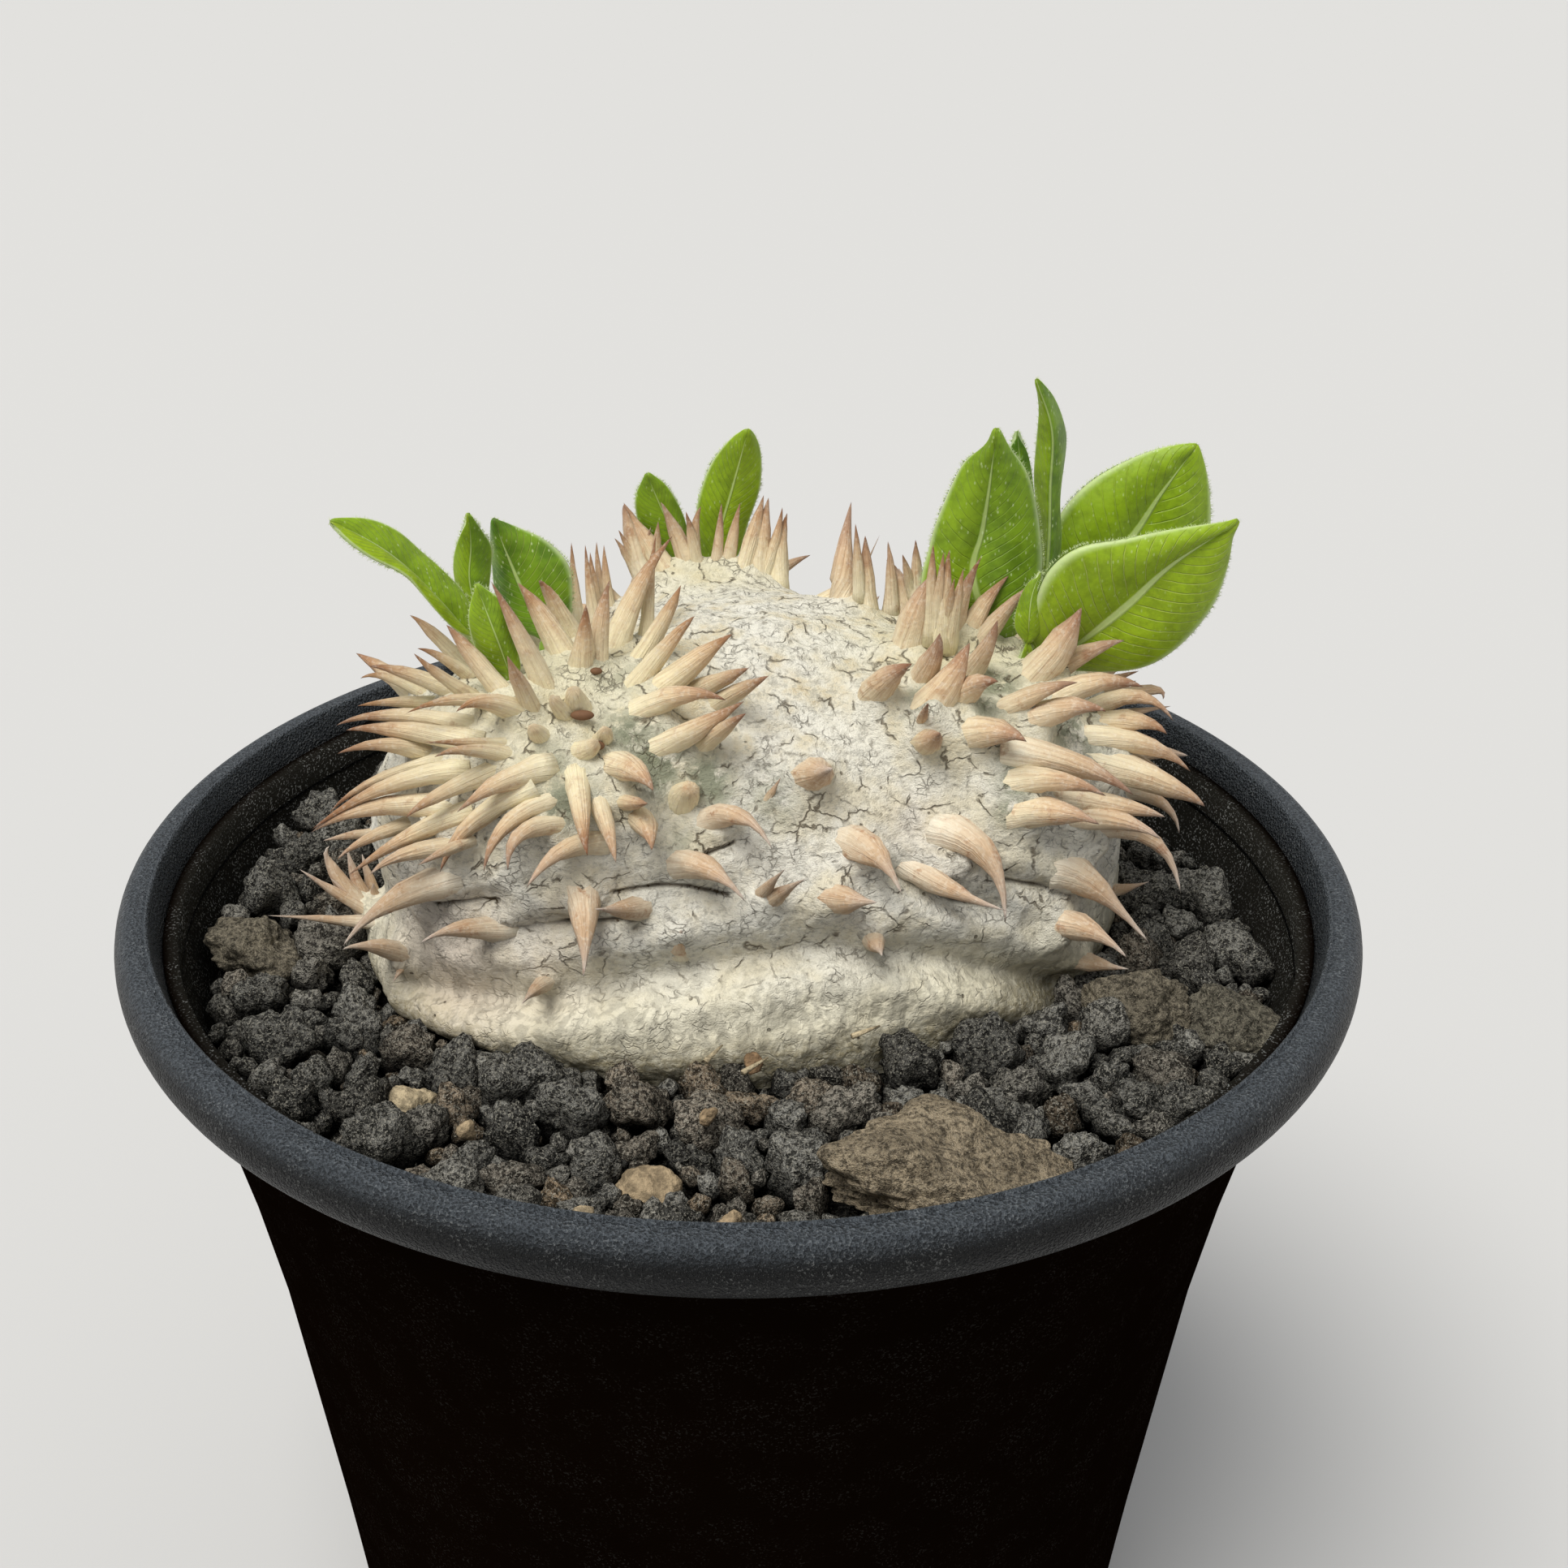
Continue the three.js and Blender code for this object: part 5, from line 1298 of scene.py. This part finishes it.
def make_spines(name, spines, outline, material, tones, darks, seed):
    """One piece of spines, with tones and dark tips by a draw and by how high each stands."""
    draw = np.random.default_rng(seed)
    blank = spine_blank(outline)
    bm = bmesh.new()
    layers = [float_layer(bm, layer) for layer in ("tone", "dark", "seed")]
    for spine in spines:
        verts = grow_spine(bm, blank, spine, draw)
        height = min(max((spine["root"][2] - LIP_Z - 7) / 9, 0), 1)
        tone = min(max(draw.uniform(*tones) + (1 - height) * 0.55, 0), 1)
        for layer, value in zip(layers, (tone, height * draw.uniform(*darks), draw.uniform(0, 1))):
            set_layer(verts, layer, value)
    new_piece(name, bm, material, ["caudex"])


def make_scars(material):
    """Brown hollows between the nubs of the left head."""
    bm = bmesh.new()
    centres = on_caudex([pixel for pixel, *_ in SCARS])
    for centre, (_, wide, tall) in zip(centres, SCARS):
        verts = add_copy(bm, ball(3))
        bmesh.ops.scale(bm, vec=(wide, tall, tall), verts=verts)
        bmesh.ops.translate(bm, vec=centre + caudex_normal(centre) * SCAR_HEIGHT, verts=verts)
    new_piece("spine_scars", bm, material, ["caudex"])


def scar_finish():
    finish = Finish("Brown scar")
    shade = finish.noise(finish.object_place, 1800, 3)
    finish.surface(Base_Color=finish.mix(shade, linear(84, 56, 36), linear(126, 90, 60)), Roughness=0.8)
    return finish.material


# Leaves


def smooth_line(points, count):
    """Points spread evenly along a smooth line through a few given ones."""
    points = np.asarray(points, float)
    padded = np.vstack([2 * points[0] - points[1], points, 2 * points[-1] - points[-2]])
    share = np.linspace(0, 1, 16, endpoint=False)[:, None]
    line = []
    for a, b, c, d in zip(padded, padded[1:], padded[2:], padded[3:]):
        line.append(0.5 * (2 * b + (c - a) * share + (2 * a - 5 * b + 4 * c - d) * share ** 2
                           + (3 * b - a - 3 * c + d) * share ** 3))
    line = np.vstack([*line, points[-1:]])
    lengths = np.concatenate([[0], np.cumsum(np.linalg.norm(np.diff(line, axis=0), axis=1))])
    even = np.linspace(0, lengths[-1], count)
    return np.stack([np.interp(even, lengths, line[:, axis]) for axis in range(3)], axis=1)


def leaf_foot(base, towards):
    """Where a stalk carried on from the blade's base is sunk in the caudex."""
    foot = base.copy()
    down = unit(base - towards)
    for _ in range(80):
        if caudex_distance(foot) < -LEAF_SUNK:
            break
        foot += down * 0.1 - caudex_normal(foot) * 0.1
    return foot


LEAF_ROWS = 30
LEAF_COLUMNS = 14

# Forms of a blade: its arch as a share of its width, then in millimetres the groove along the midrib and how
# wide that is across the blade, the swellings between veins, and the waves of the edge
ARCH = 0.07
GROOVE = -0.18
GROOVE_WIDTH = 0.1
QUILT = 0.05
WAVE = 0.16


def leaf_lines(leaf):
    """Midrib and both margins of a leaf as rows of points from its foot to its tip."""
    _, rib, left, right, behind, *_ = leaf
    rib_points = np.array([at_depth(*place) for place in rib])
    foot = leaf_foot(rib_points[0], rib_points[1])
    stalk = [foot] if np.linalg.norm(foot - rib_points[0]) > 1 else []
    middle = smooth_line([*stalk, *rib_points], LEAF_ROWS + 1)
    depths = [place[2] for place in rib]
    lines = [middle]
    side = unit(np.cross(rib_points[1] - rib_points[0], FORWARD))
    for margin, back, sign in ((left, behind[0], -1), (right, behind[1], 1)):
        share = np.linspace(0, 1, len(margin) + 2)[1:-1]
        beside = np.interp(share, np.linspace(0, 1, len(depths)), depths)
        deep = beside + back * np.sin(math.pi * share) ** 0.7
        edge = [at_depth(column, row, y) for (column, row), y in zip(margin, deep)]
        start = [point + side * sign * 0.45 for point in [*stalk, rib_points[0]]]
        lines.append(smooth_line([*start, *edge, rib_points[-1]], LEAF_ROWS + 1))
    return lines


def leaf_blade(leaf):
    """A grid laid between the midrib and both margins, arched between them, with its place in attributes."""
    middle, left, right = leaf_lines(leaf)
    bm = bmesh.new()
    bmesh.ops.create_grid(bm, x_segments=LEAF_COLUMNS, y_segments=LEAF_ROWS, size=1)
    across, along, bright, veined = (
        float_layer(bm, name) for name in ("across", "along", "bright", "veined"))
    width = np.linalg.norm(left - right, axis=1).max()
    for vert in bm.verts:
        s, t = vert.co.x, (vert.co.y + 1) / 2
        row = round(t * LEAF_ROWS)
        edge = left[row] if s < 0 else right[row]
        ahead = middle[min(row + 1, LEAF_ROWS)] - middle[max(row - 1, 0)]
        face = unit(np.cross(right[row] - left[row] + 1e-6, ahead))
        face = face if face @ FORWARD < 0 else -face
        near = abs(s)
        arch = ARCH * width * math.sin(math.pi * near) * math.sin(math.pi * t) ** 0.5
        groove = GROOVE * math.exp(-(near / GROOVE_WIDTH) ** 2) * (1 - t)
        quilt = QUILT * leaf[-1] * math.sin(2 * math.pi * (t * 15 - near * 2.4)) * math.sin(math.pi * near)
        wave = WAVE * math.sin(9 * t + 3 * s + width) * near ** 2
        point = middle[row] * (1 - near) + edge * near + face * (arch + groove + quilt + wave)
        vert[across] = s
        vert[along] = t
        vert[bright] = leaf[-2][0] if s < 0 else leaf[-2][1]
        vert[veined] = leaf[-1]
        vert.co = point
    return bm


def leaf_finish(settings):
    finish = Finish("Downy leaf")
    across, along, bright, veined = (
        finish.attribute(name) for name in ("across", "along", "bright", "veined"))
    place = finish.object_place
    near = across.absolute()
    cloud = finish.noise(place, 360, 3, 0.6)
    sway = (cloud - 0.5) * 0.45
    phase = ((along * 22 - near * 4.4 + sway).fraction() - 0.5).absolute() * 2
    veins = (1 - phase.rise(0.0, 0.16)) * (1 - near.rise(0.7, 0.95)) * near.rise(0.06, 0.14)
    midrib = 1 - (near / (0.1 - along * 0.065)).rise(0.45, 1.1)
    deep = finish.mix(cloud.rise(0.32, 0.66), settings.deep_colour, settings.leaf_colour)
    # Partly painted light: bright mixes in the lit green on lit halves, and partly it is the paler colour of
    # an underside.
    green = finish.mix(bright, deep, settings.bright_colour)
    mottle = finish.noise(place, 1300, 3, 0.7)
    clouded = shaded(finish, green, (cloud * 0.5 + mottle * 0.5).rise(0.36, 0.6), 0.8, 1.1)
    foot = finish.mix((1 - along.rise(0.05, 0.4)) * 0.3, clouded, linear(150, 172, 84))
    veiny = finish.mix((veins * veined * 0.62).clamped(), foot, settings.vein_colour)
    ribbed = finish.mix((midrib * (0.6 + veined * 0.3)).clamped(), veiny, linear(196, 214, 140))
    hairs = finish.cells(finish.scaled(place, (1, 1, 0.5)), 2600)
    down = (1 - hairs.rise(0.12, 0.26)) * finish.noise(place, 900, 1).rise(0.35, 0.6) * (1.1 - bright * 0.8)
    edge = near.rise(0.86, 1.0)
    downy = finish.mix((down * 0.6 + edge * 0.6).clamped(), ribbed, linear(210, 224, 176))
    finish.surface(Base_Color=downy, Roughness=0.5, Specular_IOR_Level=0.35, Sheen_Weight=0.12,
                   Sheen_Roughness=0.4, Subsurface_Weight=0.2, Subsurface_Radius=(0.0009, 0.0014, 0.0003),
                   Subsurface_Scale=1)
    finish.relief((cloud * 0.25 + midrib * 0.12 - veins * (0.05 + veined * 0.1), 0.8))
    return finish.material


def down_finish():
    finish = Finish("White down")
    shade = finish.noise(finish.object_place, 900, 1)
    finish.surface(Base_Color=finish.mix(shade, linear(216, 228, 184), linear(190, 208, 138)), Roughness=0.6)
    return finish.material


def hair_places(settings):
    """Root, heading and length of short hairs along the margins of the leaves."""
    draw = np.random.default_rng(31)
    hairs = []
    for leaf in LEAVES:
        middle, left, right = leaf_lines(leaf)
        for edge in (left, right):
            length = np.linalg.norm(np.diff(edge, axis=0), axis=1).sum()
            for share in draw.uniform(0.12, 1, int(length / settings.hair_spacing * MM)):
                row = share * LEAF_ROWS
                below = min(int(row), LEAF_ROWS - 1)
                root = edge[below] + (edge[below + 1] - edge[below]) * (row - below)
                out = unit(edge[below] - middle[below] + 1e-5)
                ahead = unit(edge[below + 1] - edge[below])
                heading = unit(out + ahead * 0.5 - FORWARD * 0.2 + draw.normal(0, 0.45, 3))
                hairs.append((root, heading, settings.hair_length / MM * draw.uniform(0.5, 1.3)))
    return hairs


def make_hairs(settings):
    """Makes one hair, doubles it until there are enough, and moves each copy to its place."""
    hairs = hair_places(settings)
    hair = bmesh.new()
    bmesh.ops.create_cone(hair, segments=3, radius1=0.026, radius2=0, depth=1, cap_ends=True)
    bmesh.ops.remove_doubles(hair, verts=hair.verts, dist=1e-4)
    corners = places(hair)
    bm = bmesh.new()
    bm.from_mesh(finished_mesh("hair", hair))
    while len(bm.verts) < len(hairs) * len(corners):
        mesh = bpy.data.meshes.new("hairs")
        bm.to_mesh(mesh)
        bm.from_mesh(mesh)
    spare = list(bm.verts)[len(hairs) * len(corners):]
    bmesh.ops.delete(bm, geom=spare, context="VERTS")
    points = []
    for root, heading, length in hairs:
        side = unit(np.cross(heading, UPWARD + 0.01))
        frame_axes = np.array([side, np.cross(heading, side), heading * length])
        points.append(root + heading * length * 0.4 + corners @ frame_axes)
    move_to(bm.verts, np.vstack(points))
    new_piece("leaf_down", bm, down_finish())


def make_leaves(settings):
    material = leaf_finish(settings)
    for leaf in LEAVES:
        piece = new_piece(leaf[0] + "_blade", leaf_blade(leaf), material, [leaf[0]])
        modify(piece, "SOLIDIFY", thickness=settings.thickness, offset=0)
        modify(piece, "SUBSURF", levels=1, render_levels=1)


def leaf_tree():
    """All the blades as one tree that finds the nearest of them."""
    bm = bmesh.new()
    for leaf in LEAVES:
        bm.from_mesh(finished_mesh("blade", leaf_blade(leaf)))
    tree = BVHTree.FromBMesh(bm)
    bm.free()
    return tree


def make_caudex(settings):
    leaves = leaf_tree()
    back, crest, crown = {"depth": BACK_HEAD_DEPTH}, {"depth": CREST_DEPTH}, {"depth": CROWN_DEPTH}
    nub = {"reach": 3, "lift": NUB_LIFT}
    groups = [
        ("spines_left_head", LEFT_HEAD_SPINES, {}, BELLIED, (0, 0.35), (0.3, 0.9), 41),
        ("spines_right_head", RIGHT_HEAD_SPINES, {}, BELLIED, (0.2, 0.75), (0.4, 1), 42),
        ("spines_front", FRONT_SPINES, {}, HORNED, (0.75, 1), (0, 0.2), 43),
        ("spines_shoot", SHOOT_SPINES, {}, BELLIED, (0.2, 0.6), (0.5, 1), 44),
        ("spines_back_head", BACK_HEAD_SPINES, back, BELLIED, (0.2, 0.6), (0.3, 0.8), 45),
        ("spines_crest", CREST_SPINES, crest, BELLIED, (0.2, 0.8), (0.4, 1), 46),
        ("spines_crown", CROWN_SPINES, crown, BELLIED, (0, 0.2), (0.2, 0.7), 48),
        ("spines_small", SMALL_SPINES, {"reach": 2.6}, HORNED, (0.5, 1), (0.2, 0.6), 49),
        ("spine_nubs", NUBS, nub, BLUNT, (0, 0.05), (0.15, 0.35), 50),
    ]
    grown = [(name, spines_from_pixels(rows, **how), *rest) for name, rows, how, *rest in groups]
    grown.append(("spines_hidden", hidden_spines(), BELLIED, (0.1, 0.7), (0.3, 0.9), 47))
    grown = [(name, [clear_of(spine, leaves) for spine in spines], *rest) for name, spines, *rest in grown]
    rooted = [spine for name, spines, *_ in grown if name != "spine_nubs" for spine in spines]
    new_piece("caudex_bark_body", caudex_mesh(rooted), bark_finish(settings), ["caudex"])
    felt = spine_finish(settings)
    for name, spines, outline, *looks in grown:
        make_spines(name, spines, outline, felt, *looks)
    make_scars(scar_finish())


# Stage


def make_camera():
    lens = bpy.data.cameras.new("view")
    lens.sensor_width = SENSOR
    lens.lens = FOCAL_PIXELS / IMAGE_SIDE * SENSOR
    lens.shift_x = (IMAGE_SIDE / 2 - CENTRE_COLUMN) / IMAGE_SIDE
    lens.clip_start = 0.01
    camera = add_object("view", lens)
    camera.location = EYE * MM
    camera.rotation_euler = (math.pi / 2 - PITCH, 0, 0)
    bpy.context.scene.camera = camera


def make_stage(settings):
    make_camera()
    finish = Finish("Pale floor")
    finish.surface(Base_Color=settings.floor_colour, Roughness=0.9, Specular_IOR_Level=0.1)
    bm = bmesh.new()
    bmesh.ops.create_grid(bm, x_segments=1, y_segments=1, size=FLOOR_REACH)
    mesh = finished_mesh("floor", bm)
    mesh.materials.append(finish.material)
    floor = add_object("floor", mesh)
    lamp = bpy.data.lights.new("window", "SUN")
    lamp.energy = settings.light
    lamp.angle = settings.softness
    lamp.color = (1, 0.98, 0.94)
    window = add_object("window", lamp)
    window.rotation_euler = Vector(WINDOW).to_track_quat("Z", "Y").to_euler()
    world = bpy.data.worlds.new("studio")
    world.use_nodes = True
    world.node_tree.nodes["Background"].inputs["Color"].default_value = (0.985, 0.99, 1, 1)
    world.node_tree.nodes["Background"].inputs["Strength"].default_value = settings.sky
    bpy.context.scene.world = world
    bpy.context.scene.view_settings.view_transform = "Standard"


# Settings that a user would change


def colour(name, description, default):
    return FloatVectorProperty(name=name, description=description, default=default, subtype="COLOR",
                               min=0, max=1, size=3)


def length(name, description, default):
    return FloatProperty(name=name, description=description, default=default, unit="LENGTH", min=0)


class PotSettings(PropertyGroup):
    lip_colour: colour("Lip", "Colour of the rolled lip", linear(8, 9, 10))
    wall_colour: colour("Wall", "Colour of the pot's wall", linear(8, 4, 2))


class GritSettings(PropertyGroup):
    large_grain: length("Large grain", "Radius of the largest grains", 0.0025)
    grain_colour: colour("Grain", "Colour of the lava grains", linear(104, 103, 98))
    brown_colour: colour("Brown grain", "Colour of the browner grains", linear(116, 102, 84))
    stone_colour: colour("Brown stone", "Colour of the brown stones", linear(176, 160, 134))
    grey_colour: colour("Grey stone", "Colour of the grey stones", linear(122, 119, 106))
    pebble_colour: colour("Pebble", "Colour of the pale pebbles", linear(196, 180, 148))


class CaudexSettings(PropertyGroup):
    bark_colour: colour("Bark", "Main colour of the bark", linear(248, 245, 232))
    shade_colour: colour("Bark shade", "Darker colour that clouds the bark", linear(238, 230, 206))
    hem_colour: colour("Lower bark", "Colour of the bark near the grit", linear(218, 212, 188))
    felt_colour: colour("Felt", "Colour of the felt on the heads", linear(240, 232, 194))
    tip_colour: colour("Spine tip", "Colour of the dark spine tips", linear(146, 92, 58))


class LeafSettings(PropertyGroup):
    thickness: length("Thickness", "Thickness of a blade", 0.0005)
    hair_length: length("Hair length", "Length of the hairs on the leaves", 0.00036)
    hair_spacing: length("Hair spacing", "Distance between hairs on the leaves", 0.00006)
    leaf_colour: colour("Leaf", "Main green of the leaves", linear(112, 148, 30))
    deep_colour: colour("Deep green", "Darkest green of the leaves", linear(80, 122, 26))
    bright_colour: colour("Bright green", "Green of the lit leaves", linear(140, 166, 12))
    vein_colour: colour("Veins", "Colour of the side veins", linear(196, 212, 104))


class StageSettings(PropertyGroup):
    floor_colour: colour("Floor", "Colour of the floor", (0.56, 0.56, 0.555))
    light: FloatProperty(name="Light", description="Strength of the window's light", default=3.0, min=0)
    softness: FloatProperty(name="Softness", description="How wide the window's light is, as an angle",
                            default=0.6, unit="ROTATION", min=0)
    sky: FloatProperty(name="Sky", description="Strength of the light from all round", default=0.52, min=0)


class PLANT_OT_stage(Operator):
    """Make the floor, the lights and the camera"""
    bl_idname = "plant.stage"
    bl_label = "Stage"

    def execute(self, context):
        make_stage(context.scene.plant_stage)
        return {"FINISHED"}


class PLANT_OT_pot(Operator):
    """Make the nursery pot with its rolled lip"""
    bl_idname = "plant.pot"
    bl_label = "Pot"

    def execute(self, context):
        make_pot(context.scene.plant_pot)
        return {"FINISHED"}


class PLANT_OT_grit(Operator):
    """Make the lava grit that fills the pot"""
    bl_idname = "plant.grit"
    bl_label = "Grit"

    def execute(self, context):
        make_grit(context.scene.plant_grit)
        return {"FINISHED"}


class PLANT_OT_stones(Operator):
    """Make the stones and pebbles that lie on the grit"""
    bl_idname = "plant.stones"
    bl_label = "Stones"

    def execute(self, context):
        make_stones(context.scene.plant_grit)
        return {"FINISHED"}


class PLANT_OT_caudex(Operator):
    """Make the caudex with its bark and spines"""
    bl_idname = "plant.caudex"
    bl_label = "Caudex and spines"

    def execute(self, context):
        make_caudex(context.scene.plant_caudex)
        return {"FINISHED"}


class PLANT_OT_leaves(Operator):
    """Make the leaves"""
    bl_idname = "plant.leaves"
    bl_label = "Leaves"

    def execute(self, context):
        make_leaves(context.scene.plant_leaf)
        make_hairs(context.scene.plant_leaf)
        return {"FINISHED"}


class PLANT_PT_sidebar(Panel):
    """Lists the pieces of the plant"""
    bl_idname = "PLANT_PT_sidebar"
    bl_label = "Plant"
    bl_space_type = "VIEW_3D"
    bl_region_type = "UI"
    bl_category = "Plant"

    def draw(self, context):
        for operator in OPERATORS:
            self.layout.operator(operator.bl_idname)


OPERATORS = (PLANT_OT_stage, PLANT_OT_pot, PLANT_OT_grit, PLANT_OT_stones, PLANT_OT_caudex, PLANT_OT_leaves)
SETTINGS = {
    "plant_pot": PotSettings,
    "plant_grit": GritSettings,
    "plant_caudex": CaudexSettings,
    "plant_leaf": LeafSettings,
    "plant_stage": StageSettings,
}


def register():
    for group in (*SETTINGS.values(), *OPERATORS, PLANT_PT_sidebar):
        bpy.utils.register_class(group)
    for name, group in SETTINGS.items():
        setattr(bpy.types.Scene, name, PointerProperty(type=group))


def unregister():
    for name in SETTINGS:
        delattr(bpy.types.Scene, name)
    for group in (PLANT_PT_sidebar, *OPERATORS, *SETTINGS.values()):
        bpy.utils.unregister_class(group)


def main():
    register()
    bpy.ops.plant.stage()
    bpy.ops.plant.pot()
    bpy.ops.plant.grit()
    bpy.ops.plant.stones()
    bpy.ops.plant.caudex()
    bpy.ops.plant.leaves()


if __name__ == "__main__":
    main()
